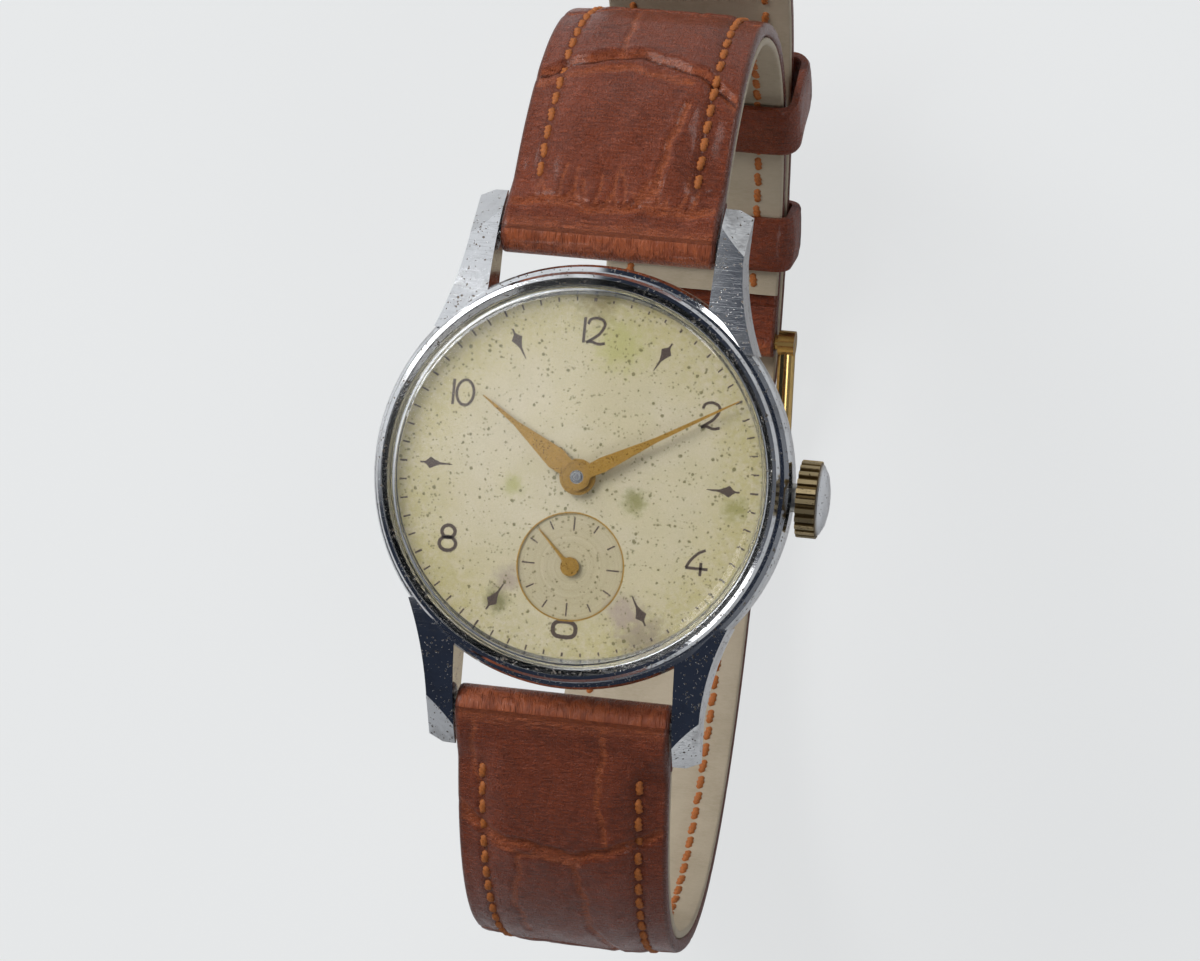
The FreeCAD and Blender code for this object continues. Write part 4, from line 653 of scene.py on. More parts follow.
class Mould:
    """Gathers closed shapes into one mesh, with what the leather's material reads at their points."""

    def __init__(self):
        self.points, self.faces, self.records, self.count = [], [], [], 0

    def take(self, points, faces):
        self.points.append(np.asarray(points, float).reshape(-1, 3))
        self.faces += [[self.count + index for index in face] for face in faces]
        self.count += len(self.points[-1])

    def piece(self, name, material, body, sharpest=40.0):
        """The mesh in the frame's own place, riding on a body."""
        mesh = bpy.data.meshes.new(name)
        mesh.from_pydata(np.concatenate(self.points).tolist(), [], self.faces)
        mesh.update()
        mesh.materials.append(material)
        soften(mesh, sharpest)
        piece = bpy.data.objects.new(name, mesh)
        bpy.context.scene.collection.objects.link(piece)
        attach(piece, body)
        return piece

    def leather_piece(self, name, material, body, node):
        """Outer leather that takes a CAD node's place and stores its records point by point."""
        piece = self.piece(name, material, body, LEATHER_ANGLE)
        place, crease, edge = (np.concatenate(column).astype(np.float32) for column in zip(*self.records))
        # the edge record holds both the painted edge and the painted shade of the stitch groove
        for key, kind, field, values in (("strap_place", "FLOAT_VECTOR", "vector", place.ravel()),
                                         ("strap_crease", "FLOAT", "value", crease),
                                         ("strap_edge_paint_and_groove_shade", "FLOAT", "value", edge)):
            piece.data.attributes.new(key, kind, "POINT").data.foreach_set(field, values)
        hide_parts(node)
        return piece


def skin_faces(rings, around, looped=False):
    """Faces of a closed skin through rings of points, capped at both ends unless the rings form a loop."""
    faces = []
    for ring in range(rings if looped else rings - 1):
        here, there = ring * around, (ring + 1) % rings * around
        for index in range(around):
            after = (index + 1) % around
            faces.append([here + index, here + after, there + after, there + index])
    if not looped:
        faces.append(list(range(around))[::-1])
        faces.append(list(range((rings - 1) * around, rings * around)))
    return faces


def smooth_line(points, per_span=8):
    """A curve through a few points."""
    points = np.asarray(points, float)
    if len(points) < 3:
        return points
    padded = np.vstack([2 * points[0] - points[1], points, 2 * points[-1] - points[-2]])
    t = np.linspace(0, 1, per_span, endpoint=False)[:, None]
    line = []
    for before, start, end, after in zip(padded, padded[1:], padded[2:], padded[3:]):
        square, cube = 2 * before - 5 * start + 4 * end - after, 3 * start - before - 3 * end + after
        line.append(0.5 * (2 * start + (end - before) * t + square * t**2 + cube * t**3))
    return np.vstack([*line, points[-1:]])


def ribbon(mould, line, width, levels, closed=False):
    """A printed line: a thin strip along points in the dial's plane, between two levels.

    width is one number or one per point."""
    line = np.asarray(line, float)
    if closed:
        along = np.roll(line, -1, 0) - np.roll(line, 1, 0)
    else:
        along = np.gradient(line, axis=0)
    along /= np.linalg.norm(along, axis=1)[:, None]
    side = np.column_stack([-along[:, 1], along[:, 0]]) * np.broadcast_to(width, len(line))[:, None] / 2
    left, right = line + side, line - side
    low, high = levels
    corners = ((left, low), (right, low), (right, high), (left, high))
    rings = np.stack([np.column_stack([flat, np.full(len(flat), z)]) for flat, z in corners], 1)
    mould.take(rings, skin_faces(len(line), 4, looped=closed))


def printed(level, settings):
    """The levels between which ink lies on a face, a little sunk into it."""
    return level - 0.01 * MM, level + settings.print_height


def turned_back(flat, angle, centre=(0.0, 0.0)):
    """Points turned clockwise by an angle from 12 o'clock, about a centre."""
    c, s = math.cos(angle), math.sin(angle)
    flat = np.asarray(flat, float)
    return np.column_stack([flat[:, 0] * c + flat[:, 1] * s, -flat[:, 0] * s + flat[:, 1] * c]) + centre


def oval(centre, across, up, count=40, power=2.0):
    """A closed oval; a power over 2 squares its shoulders."""
    angles = np.linspace(0, 2 * math.pi, count, endpoint=False)
    c, s = np.cos(angles), np.sin(angles)
    x = centre[0] + across * np.sign(c) * abs(c) ** (2 / power)
    return np.column_stack([x, centre[1] + up * np.sign(s) * abs(s) ** (2 / power)])


def figure_lines(digit):
    """The strokes of one figure as (points, closed), one unit high, on y = 0 and centred on x = 0."""
    if digit == "1":
        return [(np.array([(0.0, 0.0), (0.0, 1.0)]), False)]
    if digit == "2":
        top = smooth_line([(-0.34, 0.74), (-0.25, 0.93), (0.0, 1.0), (0.25, 0.92), (0.31, 0.70),
                           (0.10, 0.36), (-0.36, 0.02)])
        foot = smooth_line([(-0.36, 0.03), (-0.15, 0.07), (0.12, 0.0), (0.38, 0.05)])
        return [(top, False), (foot, False)]
    if digit == "4":
        slant = smooth_line([(0.30, 1.0), (0.02, 0.86), (-0.26, 0.56), (-0.42, 0.26)])
        return [(slant, False), (np.array([(-0.43, 0.27), (0.44, 0.27)]), False),
                (np.array([(0.16, 0.52), (0.16, 0.0)]), False)]
    if digit == "8":
        return [(oval((0.0, 0.74), 0.26, 0.24), True), (oval((0.0, 0.27), 0.33, 0.27), True)]
    return [(oval((0.0, 0.5), 0.34, 0.49), True)]


def figure(mould, digits, hour, settings, heavy):
    """An hour figure standing upright on the dial."""
    height = settings.figure_height
    angle = math.radians(30 * hour)
    centre = settings.figure_radius * np.array([math.sin(angle), math.cos(angle)])
    steps = [(0.42 if digit == "1" else 1.0) * 0.66 * height for digit in digits]
    x = centre[0] - sum(steps) / 2
    for digit, step in zip(digits, steps):
        for line, closed in figure_lines(digit):
            flat = line * height + (x + step / 2, centre[1] - height / 2)
            ribbon(mould, flat, settings.stroke * heavy, printed(DIAL_TOP, settings), closed)
        x += step


# ---------------------------------------------------------------- the strap


LOOP_POINTS = 2001  # along the strap's line
ROW_STEP = 0.26 * MM  # between rows of points along the outer leather
EDGE_RADIUS = 0.42 * MM  # the outer leather's sides
STRIP_EDGE_RADIUS = 0.3 * MM  # the sides of the strips beside the tongue's slot
EDGE_TURNS, UNDERSIDE = 6, 9  # points round each side of the leather and across its underside
LEATHER_ANGLE = 50.0  # a sharper edge of leather than this, in degrees, stays sharp
SKIN = 0.01 * MM  # between leathers that lie on each other


def ease(t):
    """0 to 1 as t goes from 0 to 1, with a soft start and finish."""
    t = np.clip(t, 0, 1)
    return t * t * (3 - 2 * t)


class Loop:
    """The line that the strap follows from the bar at 12 to the bar at 6, and its size along it."""

    def __init__(self, settings):
        self.settings = settings
        half, centre, power = settings.loop_half_width, settings.loop_centre_z, settings.squareness
        height = (BAR_Z - centre) / (1 - (BAR_Y / half) ** power) ** (1 / power)
        start = math.acos((BAR_Y / half) ** (power / 2))
        angles = np.linspace(start, -math.pi - start, LOOP_POINTS)
        c, s = np.cos(angles), np.sin(angles)
        self.y = half * np.sign(c) * abs(c) ** (2 / power)
        self.z = centre + height * np.sign(s) * abs(s) ** (2 / power)
        steps = np.hypot(np.diff(self.y), np.diff(self.z))
        self.stations = np.concatenate([[0.0], np.cumsum(steps)])
        self.length = self.stations[-1]
        along_y, along_z = np.gradient(self.y, self.stations), np.gradient(self.z, self.stations)
        size = np.hypot(along_y, along_z)
        self.out_y, self.out_z = -along_z / size, along_y / size
        self.back = centre - height
        from_pin = np.hypot(self.y - PIN_Y, self.z - PIN_Z)
        self.pin = self.stations[int(np.argmin(from_pin))]
        self.tail_end = self.length - settings.tail_length

    def at(self, station):
        """Place (y, z) and outward direction (y, z) at stations."""
        lines = (self.y, self.z, self.out_y, self.out_z)
        found = [np.interp(station, self.stations, line) for line in lines]
        place, out = np.stack(found[:2], -1), np.stack(found[2:], -1)
        return place, out / np.linalg.norm(out, axis=-1, keepdims=True)

    def thickness(self, from_bar):
        """Leather and lining together, padded near a spring bar."""
        s = self.settings
        thinned = ease(np.asarray(from_bar) / s.padding_run)
        return s.bar_thickness + (s.thickness - s.bar_thickness) * thinned

    def half_width(self, z):
        """Half the strap's width at a height, tapering from the bars to the back."""
        s = self.settings
        share = np.clip((z - self.back) / (BAR_Z - self.back), 0, 1)
        return s.half_at_back + (s.half_at_bars - s.half_at_back) * share

    def tail_lift(self, station):
        """How far the tail stands off the line where it lies over the buckle half."""
        s, station = self.settings, np.asarray(station)
        past_pin, climb, spring_run = 9.5 * MM, 8.5 * MM, 24 * MM
        spring = np.maximum(0, (self.tail_end + spring_run - station) / spring_run)
        return s.tail_lift * ease((self.pin + past_pin - station) / climb) + s.tail_spring * spring**2


class Creases:
    """The hollows between the leather's scales, in millimetres across and along a half.

    Each is (start, middle, end) of a bent line, a depth and a width."""

    def __init__(self, lines):
        self.lines = lines

    def read(self, x, d):
        """Height and crease mask at places across (x) and along (d) a half, in millimetres."""
        far, swell, swell_reach = 9.0, 0.10, 2.2  # the leather swells up between its creases
        nearest = np.full(x.shape, far)
        height, mask = np.zeros(x.shape), np.zeros(x.shape)
        t = np.linspace(0, 1, 48)[:, None]
        for points, depth, width in self.lines:
            start, middle, end = np.array(points, float)
            through = 2 * middle - (start + end) / 2
            run = np.linalg.norm(end - start)
            line = start * (1 - t) ** 2 + through * 2 * t * (1 - t) + end * t**2
            phase = start.sum() * 1.7 + middle.sum()
            far_along = t[:, 0] * run
            wobble = 0.20 * np.sin(far_along * 0.9 + phase) + 0.10 * np.sin(far_along * 2.3 + 2 * phase)
            side = np.array([-(end - start)[1], (end - start)[0]]) / max(run, 1e-6)
            line = line + wobble[:, None] * side
            low, high = line.min(0) - 4 * width - 3, line.max(0) + 4 * width + 3
            near = (x > low[0]) & (x < high[0]) & (d > low[1]) & (d < high[1])
            if not near.any():
                continue
            away = np.full(near.sum(), 1e9)
            for a, b in zip(line, line[1:]):
                along = b - a
                across, down = x[near] - a[0], d[near] - a[1]
                share = np.clip((across * along[0] + down * along[1]) / max(along @ along, 1e-9), 0, 1)
                gap = np.hypot(across - share * along[0], down - share * along[1])
                away = np.minimum(away, gap)
            nearest[near] = np.minimum(nearest[near], away)
            height[near] -= depth * np.exp(-((away / width) ** 2))
            height[near] += 0.25 * depth * np.exp(-(((away - 2.2 * width) / width) ** 2))
            worn = np.exp(-((away / (1.15 * width)) ** 2)) * min(1.0, 0.5 + depth)
            mask[near] = np.maximum(mask[near], worn)
        return height + swell * (1 - np.exp(-((nearest / swell_reach) ** 2))), mask


def scale_rows(first, last, spacing, seed):
    """Rows of scales down a half of the strap, with one or two lengthwise creases in each row."""
    lines, side, d, row = [], 8.8, first, 0
    while d < last:
        lean = 1.3 * math.sin(seed + 2.1 * row)
        bow = 1.6 * math.cos(seed + 1.3 * row)
        lines.append((((-side, d - lean), (0.0, d + bow), (side, d + lean)), 0.30, 0.34))
        step = spacing * (1 + 0.18 * math.sin(seed + row))
        for x in ((-2.8, 3.4), (0.8,), (-3.6, 2.6))[row % 3]:
            drift = 0.7 * math.sin(seed + 3 * row + x)
            ends = (x, d + 0.3), (x - drift / 2, d + step - 0.3)
            lines.append(((ends[0], (x + drift, d + step / 2), ends[1]), 0.14, 0.24))
        d += step
        row += 1
    return lines


def twelve_creases():
    """The buckle half: the deep crease and lines next to the lugs, then regular rows."""
    near = [
        (((-8.9, 13.9), (0.4, 16.6), (8.9, 12.4)), 0.55, 0.42),
        (((-8.9, 12.9), (-2.0, 14.9), (4.5, 13.9)), 0.12, 0.30),
        (((-8.0, 2.3), (0.0, 2.0), (8.0, 2.4)), 0.30, 0.32),
        (((4.4, 11.8), (3.9, 7.4), (2.6, 3.0)), 0.17, 0.26),
        (((2.9, 4.2), (2.2, 3.2), (1.4, 2.3)), 0.12, 0.22),
        (((-1.5, 17.2), (-1.9, 20.5), (-1.7, 24.5)), 0.10, 0.22),
    ]
    wrinkles = []
    for index, x in enumerate(np.arange(-6.4, 6.8, 0.62)):
        lean, reach = 0.3 * math.sin(5.1 * index), 3.6 + 1.3 * math.sin(2.7 * index)
        wrinkles.append((((x, 2.4), (x + lean, 3.0), (x + 2 * lean, reach + 0.6)), 0.05, 0.13))
    return Creases(near + wrinkles + scale_rows(25.0, 68.0, 8.6, 0.7))


def six_creases():
    """The tail half: a bowed crease, a lengthwise line each side of it, then regular rows."""
    near = [
        (((-8.9, 8.7), (0.0, 11.6), (8.9, 8.9)), 0.34, 0.34),
        (((-8.9, 9.8), (-3.0, 11.9), (1.2, 12.5)), 0.14, 0.26),
        (((3.6, 0.4), (3.3, 5.0), (3.7, 10.2)), 0.14, 0.22),
        (((1.5, 12.4), (1.9, 18.5), (3.4, 26.0)), 0.16, 0.26),
        (((-7.4, 0.5), (-7.1, 4.5), (-6.6, 9.0)), 0.10, 0.20),
        (((-3.4, 12.2), (-3.9, 17.0), (-3.6, 22.5)), 0.11, 0.22),
    ]
    return Creases(near + scale_rows(27.0, 132.0, 9.2, 2.3))


class Half:
    """One half of the strap, measured by its distance d from its own spring bar, in metres."""

    def __init__(self, loop, creases, from_twelve):
        self.loop, self.creases, self.from_twelve = loop, creases, from_twelve

    def station(self, d):
        return d if self.from_twelve else self.loop.length - d

    def frame(self, d):
        """Place, outward direction and half width at distances from the bar, on the strap's lifted line."""
        station = self.station(np.asarray(d, float))
        place, out = self.loop.at(station)
        half = self.loop.half_width(place[..., 1])
        if not self.from_twelve:
            s = self.loop.settings
            place = place + self.loop.tail_lift(station)[..., None] * out
            # the tip's two rounded corners
            inside = np.clip(s.tip_corner - (s.tail_length - np.asarray(d, float)), 0, s.tip_corner)
            half = half - s.tip_corner + np.sqrt(s.tip_corner**2 - (0.999 * inside) ** 2)
        return place, out, half

    def relief(self, x, d, half):
        """Height of the outer face over the strap's line, and its masks of creases and of painted shade in
        the stitch groove.
        """
        s = self.loop.settings
        flat_rim, slope = 0.5 * MM, 4.2 * MM
        groove_width, groove_depth = 0.42 * MM, 0.24 * MM
        thick = self.loop.thickness(d)
        full = thick / 2
        thin = np.minimum(full, -thick / 2 + s.edge_thickness)
        from_edge = half - abs(x)
        if not self.from_twelve:
            from_edge = np.minimum(from_edge, s.tail_length - d)
        rise = np.sin(np.clip((from_edge - flat_rim) / slope, 0, 1) * math.pi / 2) ** 1.4
        padding_start, padding_climb = 1.2 * MM, 4 * MM
        padded = ease((d - padding_start) / padding_climb)
        height = full * (1 - padded) + padded * (thin + (full - thin) * rise)
        # the padding stands a little proud between the lugs and the bend
        proud_start, climb, proud_end, fade = 3.0 * MM, 7 * MM, 34 * MM, 12 * MM
        proud = np.clip((d - proud_start) / climb, 0, 1) * np.clip((proud_end - d) / fade, 0, 1)
        height = height + s.padding_crown * proud * rise
        groove_start, groove_fade = 3.8 * MM, 0.8 * MM
        sewn = np.clip((d - groove_start) / groove_fade, 0, 1)
        groove = np.exp(-(((from_edge - s.stitch_inset) / groove_width) ** 2)) * sewn
        height = height - groove_depth * groove
        dent, mask = self.creases.read(x / MM, d / MM)
        # the second mask paints shade into the stitch groove, in the same channel as the painted edge
        mask = np.stack([mask, 0.8 * groove], -1)
        # the creases run out towards the painted edge
        edge_run, least = 1.2 * MM, 0.35
        thinning = np.clip(from_edge / edge_run, least, 1)
        ripple = 0.030 * np.sin(x / MM * 1.9 + 1.3 * np.sin(d / MM * 0.6)) * np.sin(d / MM * 1.35 + 0.4)
        return height + (dent - 0.10 + ripple) * MM * thinning, mask


def section(half, top, bottom, across, edge_radius):
    """x and height of rings across the strap: the top, the right edge, the underside and the left edge."""
    inner, bottom = (half - edge_radius)[:, None], bottom[:, None]

    def edge(side, top, angles):
        c, s = np.cos(angles)[None, :], np.sin(angles)[None, :]
        x = side * (inner + edge_radius * abs(s) ** 0.8)
        return x, (top + bottom) / 2 + (top - bottom) / 2 * (np.sign(c) * abs(c) ** 0.7)

    angles = np.linspace(0, math.pi, EDGE_TURNS + 2)[1:-1]
    over, right = (inner * across, top), edge(1, top[:, -1:], angles)
    left = edge(-1, top[:, :1], angles[::-1])
    under = inner * np.linspace(1, -1, UNDERSIDE), np.broadcast_to(bottom, (len(half), UNDERSIDE))
    return (np.concatenate(columns, 1) for columns in zip(over, right, under, left))


def sheath(mould, path, sides, top, bottom, across, edge_radius, along, mask):
    """A closed skin of leather along a path of places and outward directions, with what its material reads.

    sides holds the lowest and the highest x of each row."""
    (place, out), (low, high) = path, sides
    x, h = section((high - low) / 2, top, bottom, across, edge_radius)
    x = x + ((low + high) / 2)[:, None]
    y = place[:, :1] + h * out[:, :1]
    z = place[:, 1:] + h * out[:, 1:]
    mould.take(np.stack([x, y, z], -1), skin_faces(*x.shape))
    crease, edge, wide = np.zeros(x.shape), np.zeros(x.shape), len(across)
    # the edge record takes the painted shade of the stitch groove across the top, and the painted edge
    # round the sides
    crease[:, :wide], edge[:, :wide] = mask[..., 0], mask[..., 1]
    edge[:, wide : wide + EDGE_TURNS] = edge[:, -EDGE_TURNS:] = 1.0
    strap_place = np.stack([x / MM, np.broadcast_to(along[:, None], x.shape) / MM, h / MM], -1)
    mould.records.append((strap_place.reshape(-1, 3), crease.ravel(), edge.ravel()))


def bar_hole(reach, hole, wanted):
    """How far an inner face stands off the strap's middle: round the bar, then as wanted beyond it."""
    run = 1.6 * MM
    clear = np.sqrt(np.maximum(0, hole**2 - reach**2))
    return np.maximum(clear, wanted * ease((reach - hole) / run))


def outer_leather(mould, part, ends, across, slot=None):
    """The outer leather of a half between two distances, turned round a bar at the end that has one.

    ends holds (distance, turn) for the start and the finish, where a turn is None or holds a bar's centre,
    its roll radius and its hole radius. across runs from -1 to 1 over the width.
    slot is (side, half width) for the strip on one side of the tongue's slot."""
    s = part.loop.settings
    roll_run, polish_run, polish = 2.2 * MM, 1.4 * MM, 0.42
    (start, first), (finish, last) = ends
    d = np.linspace(start, finish, max(3, int((finish - start) / ROW_STEP)))
    place, out, half = part.frame(d)
    inner = (half - EDGE_RADIUS)[:, None]
    if slot:
        side, gap = slot
        low, high = (gap, inner) if side > 0 else (-inner, -gap)
        x = low + (high - low) * (across + 1) / 2
    else:
        x = across * inner
    height, mask = part.relief(x, d[:, None] + 0 * x, half[:, None])
    thick = part.loop.thickness(d)
    bottom = -thick / 2 + s.lining + SKIN

    def turned(edge, sign, bar, roll, hole):
        """The rows that lie underneath for a short way, and those that go round the bar."""
        reach = sign * (d - edge)
        rolled = ease(1 - reach / roll_run)
        height[:] = height * (1 - rolled[:, None]) + roll * rolled[:, None]
        polished = polish * np.clip(1 - reach / polish_run, 0, 1)
        mask[..., 0] = np.maximum(mask[..., 0], polished[:, None])
        off = bar_hole(reach, hole, thick / 2 - s.lining)
        near = reach < s.turned_length
        bottom[near] = np.where(reach < hole, off, SKIN - off)[near]
        top = thick / 2 + (roll - thick / 2) * rolled
        wide = np.ones((1, len(across)))
        bare = np.zeros((near.sum(), len(across), 2))
        under = (place[near], -out[near], half[near], top[near, None] * wide, off[near] + 1.2 * SKIN,
                 d[near], bare)
        edge_place, edge_out, edge_half = part.frame(np.array([edge]))
        ahead = part.frame(np.array([edge + sign * 0.5 * MM]))[0][0] - edge_place[0]
        back = -ahead / np.linalg.norm(ahead)
        angles = np.linspace(0, math.pi, 15)[1:-1]
        ones = np.ones(len(angles))
        turn_out = -np.cos(angles)[:, None] * edge_out + np.sin(angles)[:, None] * back
        worn = np.zeros((len(angles), len(across), 2))
        worn[..., 0] = polish
        bend = (np.broadcast_to(np.array(bar), (len(angles), 2)), turn_out, edge_half * ones,
                roll * ones[:, None] * wide, hole * ones, edge - sign * roll * np.sin(angles / 2), worn)
        return under, bend

    def flipped(row):
        return tuple(value[::-1] for value in row)

    rows = [(place, out, half, height, bottom, d, mask)]
    if first:
        under, bend = turned(start, 1, *first)
        rows = [flipped(under), bend, *rows]
    if last:
        under, bend = turned(finish, -1, *last)
        rows = [*rows, flipped(bend), flipped(under)]
    places, outs, half, top, bottoms, along, masks = map(np.concatenate, zip(*rows))
    sides, radius = (-half, half), EDGE_RADIUS
    if slot:
        gaps = np.full(len(half), gap)
        sides, radius = (gaps, half) if side > 0 else (-half, -gaps), STRIP_EDGE_RADIUS
    sheath(mould, (places, outs), sides, top, bottoms, across, radius, along, masks)


def make_strap_half(part, name, node, ends, slot, material):
    """The outer leather of one half. slot is the start and half width of the tongue's slot, or None."""
    mould, overlap = Mould(), 0.3 * MM
    across, narrow = np.linspace(-1, 1, 73), np.linspace(-1, 1, 31)
    if slot:
        slot_start, slot_half = slot
        outer_leather(mould, part, (ends[0], (slot_start, None)), across)
        for side in (-1, 1):
            outer_leather(mould, part, ((slot_start - overlap, None), ends[1]), narrow, (side, slot_half))
    else:
        outer_leather(mould, part, ends, across)
    piece = mould.leather_piece(name, material, "case", node)
    return piece


def make_lining(part, name, node, start, finish, material):
    """The lining: a thin flat leather under the outer one, with softened edges."""
    s = part.loop.settings
    row_step, margin, edge_radius = 0.8 * MM, 0.04 * MM, 0.25 * MM
    d = np.linspace(start, finish, int((finish - start) / row_step))
    place, out, half = part.frame(d)
    across = np.linspace(-1, 1, 29)
    thick = part.loop.thickness(d)
    wave = 0.012 * MM * np.sin(d[:, None] / MM * 2.2 + 3 * across[None, :])
    from_edge = half[:, None] * (1 - abs(across))[None, :]
    seam = 0.07 * MM * np.exp(-(((from_edge - s.stitch_inset) / (0.4 * MM)) ** 2))
    top = thick[:, None] / 2 - 0.02 * MM + wave - seam
    mould = Mould()
    sides = (margin - half, half - margin)
    bare = np.zeros((*top.shape, 2))
    sheath(mould, (place, -out), sides, top, thick / 2 - s.lining + SKIN, across, edge_radius, d, bare)
    piece = mould.piece(name, material, "case", LEATHER_ANGLE)
    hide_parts(node)
    return piece


def stitch(part, mould, x, d, along, on_lining):
    """One stitch of two-ply twisted thread at a place on a half, its ends dipping into the leather."""
    s = part.loop.settings
    rings, around, plies = 11, 10, 2.6
    proud, sunk = 0.03 * MM, 0.05 * MM
    place, out, half = part.frame(np.array([d]))
    if on_lining:
        level = -part.loop.thickness(d) / 2 + sunk
    else:
        level = part.relief(np.array([[x]]), np.array([[d]]), half[:, None])[0][0, 0] + proud
    out = np.array([0.0, *out[0]])
    centre = np.array([x, *place[0]]) + level * out
    out = -out if on_lining else out
    across = np.cross(along, out)
    t = np.linspace(-1, 1, rings)
    angles = np.linspace(0, 2 * math.pi, around, endpoint=False)
    size = s.thread_radius * np.sqrt(np.maximum(0.02, 1 - abs(t) ** 3.2))
    dip = -0.55 * s.thread_radius * abs(t) ** 4
    ring = size[:, None] * (1 + 0.22 * np.cos(2 * (angles[None, :] - plies * math.pi * t[:, None] / 1.6)))
    wide, tall = ring * np.cos(angles), ring * np.sin(angles)
    points = (centre + (t * s.stitch_length / 2)[:, None, None] * along + dip[:, None, None] * out
              + wide[..., None] * across + tall[..., None] * out * 0.85)
    mould.take(points, skin_faces(rings, around))


def spread(start, finish, pitch):
    """Middles of the stitches that fill a run evenly at about the wanted pitch."""
    count = round((finish - start) / pitch)
    return start + (np.arange(count) + 0.5) * (finish - start) / count


def stitch_tip(part, mould):
    """Stitches across the tip of the tail, on both faces."""
    s = part.loop.settings
    reach = s.half_at_back - s.stitch_inset
    for x in spread(-reach, reach, s.stitch_pitch):
        for on_lining in (False, True):
            stitch(part, mould, x, s.tail_length - s.stitch_inset, np.array([1.0, 0.0, 0.0]), on_lining)


def stitch_rows(part, mould, start, finish, on_lining):
    """Stitches down both sides of a half, on its outer face or its lining, every other one leaning more."""
    s, probe = part.loop.settings, 0.3 * MM
    for index, d in enumerate(spread(start, finish, s.stitch_pitch)):
        place, _, half = part.frame(np.array([d - probe, d, d + probe]))
        ahead = place[2] - place[0]
        lean = 0.16 if index % 2 else 0.064
        for side in (-1, 1):
            along = np.array([lean * side, *(ahead / np.linalg.norm(ahead))])
            along /= np.linalg.norm(along)
            stitch(part, mould, side * (half[1] - s.stitch_inset), d, along, on_lining)


def punch_holes(part, pieces):
    """Cuts the slot that the tongue stands in, and the spare holes either side of it, through the tail."""
    s, loop = part.loop.settings, part.loop
    tongue_radius, beyond_bar, reach = 0.55 * MM, 1.0 * MM, 4.0 * MM
    start, slot_half_width = 0.9 * MM, 0.9 * MM
    oblong, round_hole = 6.0, 2.0
    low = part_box("buckle_tongue")[0]
    pivot = np.array([PIN_Y, PIN_Z])
    line = np.array([low.y, low.z]) + tongue_radius - pivot
    run = np.linalg.norm(line)
    line /= run
    finish = 0.8 * (run - beyond_bar)
    middle = pivot + line * (start + finish) / 2
    nearest = int(np.argmin(np.hypot(loop.y - middle[0], loop.z - middle[1])))
    used = loop.length - float(loop.stations[nearest])
    punches = [(middle, line, (finish - start) / 2, slot_half_width, oblong)]
    for step in (-2, -1, 1, 2, 3):
        place, out, _ = part.frame(np.array([used + step * s.hole_pitch]))
        along = np.array([out[0, 1], -out[0, 0]])
        punches.append((place[0], along, s.hole_radius, s.hole_radius, round_hole))
    mould = Mould()
    for centre, along, half_length, half_width, power in punches:
        through = np.array([-along[1], along[0]])
        flat = oval((0.0, 0.0), half_width, half_length, 20, power)
        ends = [np.column_stack([flat[:, 0], centre + flat[:, 1:] * along + side * reach * through])
                for side in (1, -1)]
        mould.take(np.stack(ends), skin_faces(2, len(flat)))
    cutter = mould.piece("punch", pieces[0].data.materials[0], "case")
    for piece in pieces:
        cut = piece.modifiers.new("holes", "BOOLEAN")
        cut.operation, cut.solver, cut.object = "DIFFERENCE", "EXACT", cutter
        bpy.context.view_layer.update()
        mesh = bpy.data.meshes.new_from_object(piece.evaluated_get(bpy.context.evaluated_depsgraph_get()))
        piece.modifiers.clear()
        piece.data = mesh
    bpy.data.objects.remove(cutter)


def make_keeper(loop, node, body, material, station, room):
    """A sewn band of leather round both halves of the strap, with room between them and it."""
    s = loop.settings
    corner, arc_points, spacing = 0.9 * MM, 7, 0.7 * MM
    place, out = (value[0] for value in loop.at(np.array([station])))
    along = np.array([out[1], -out[0]])
    low = -s.thickness / 2 - room
    high = float(loop.tail_lift(station)) + s.thickness / 2 + room
    half = s.half_at_back + 0.25 * MM + room
    middle, tall = (low + high) / 2, (high - low) / 2
    outline = []
    for cx, ch, start in ((1, 1, 0), (-1, 1, 90), (-1, -1, 180), (1, -1, 270)):
        for angle in np.radians(start + np.linspace(0, 90, arc_points)):
            outline.append((cx * (half - corner), ch * (tall - corner), math.cos(angle), math.sin(angle)))
    stretched = []
    for here, there in zip(outline, outline[1:] + outline[:1]):
        gap = math.hypot(there[0] - here[0], there[1] - here[1])
        for share in np.linspace(0, 1, max(1, int(gap / spacing)), endpoint=False):
            stretched.append([a + (b - a) * share for a, b in zip(here, there)])
    # the band's own section, over its crowned outer face and back along the inner one
    seam_inset, seam_width, inner_face = 0.75 * MM, 0.16 * MM, 0.015 * MM
    cross = []
    for t in np.linspace(-1, 1, 17):
        edge = (1 - abs(t)) * s.keeper_width / 2
        seam = 0.10 * MM * math.exp(-(((edge - seam_inset) / seam_width) ** 2))
        cross.append((t * s.keeper_width / 2 * 0.995, s.keeper_wall * (1 - 0.30 * abs(t) ** 8) - seam))
    cross += [(t * s.keeper_width / 2 * 0.985, inner_face) for t in np.linspace(1, -1, 5)]
    rings, places = [], []
    for index, (x0, h0, c, si) in enumerate(stretched):
        for t, thick in cross:
            uneven = 0.025 * MM * math.sin(index * 0.9 + t / MM * 1.7) if thick > 0.1 * MM else 0.0
            reach = corner + thick + uneven
            rings.append((x0 + c * reach, *(place + (middle + h0 + si * reach) * out + t * along)))
            places.append((index * 0.7, t / MM, thick / MM))
    mould = Mould()
    mould.take(rings, skin_faces(len(stretched), len(cross), looped=True))
    mould.records.append((np.array(places), np.zeros(len(places)), np.zeros(len(places))))
    mould.leather_piece(node + "_leather", material, body, node)


# ---------------------------------------------------------------- operators


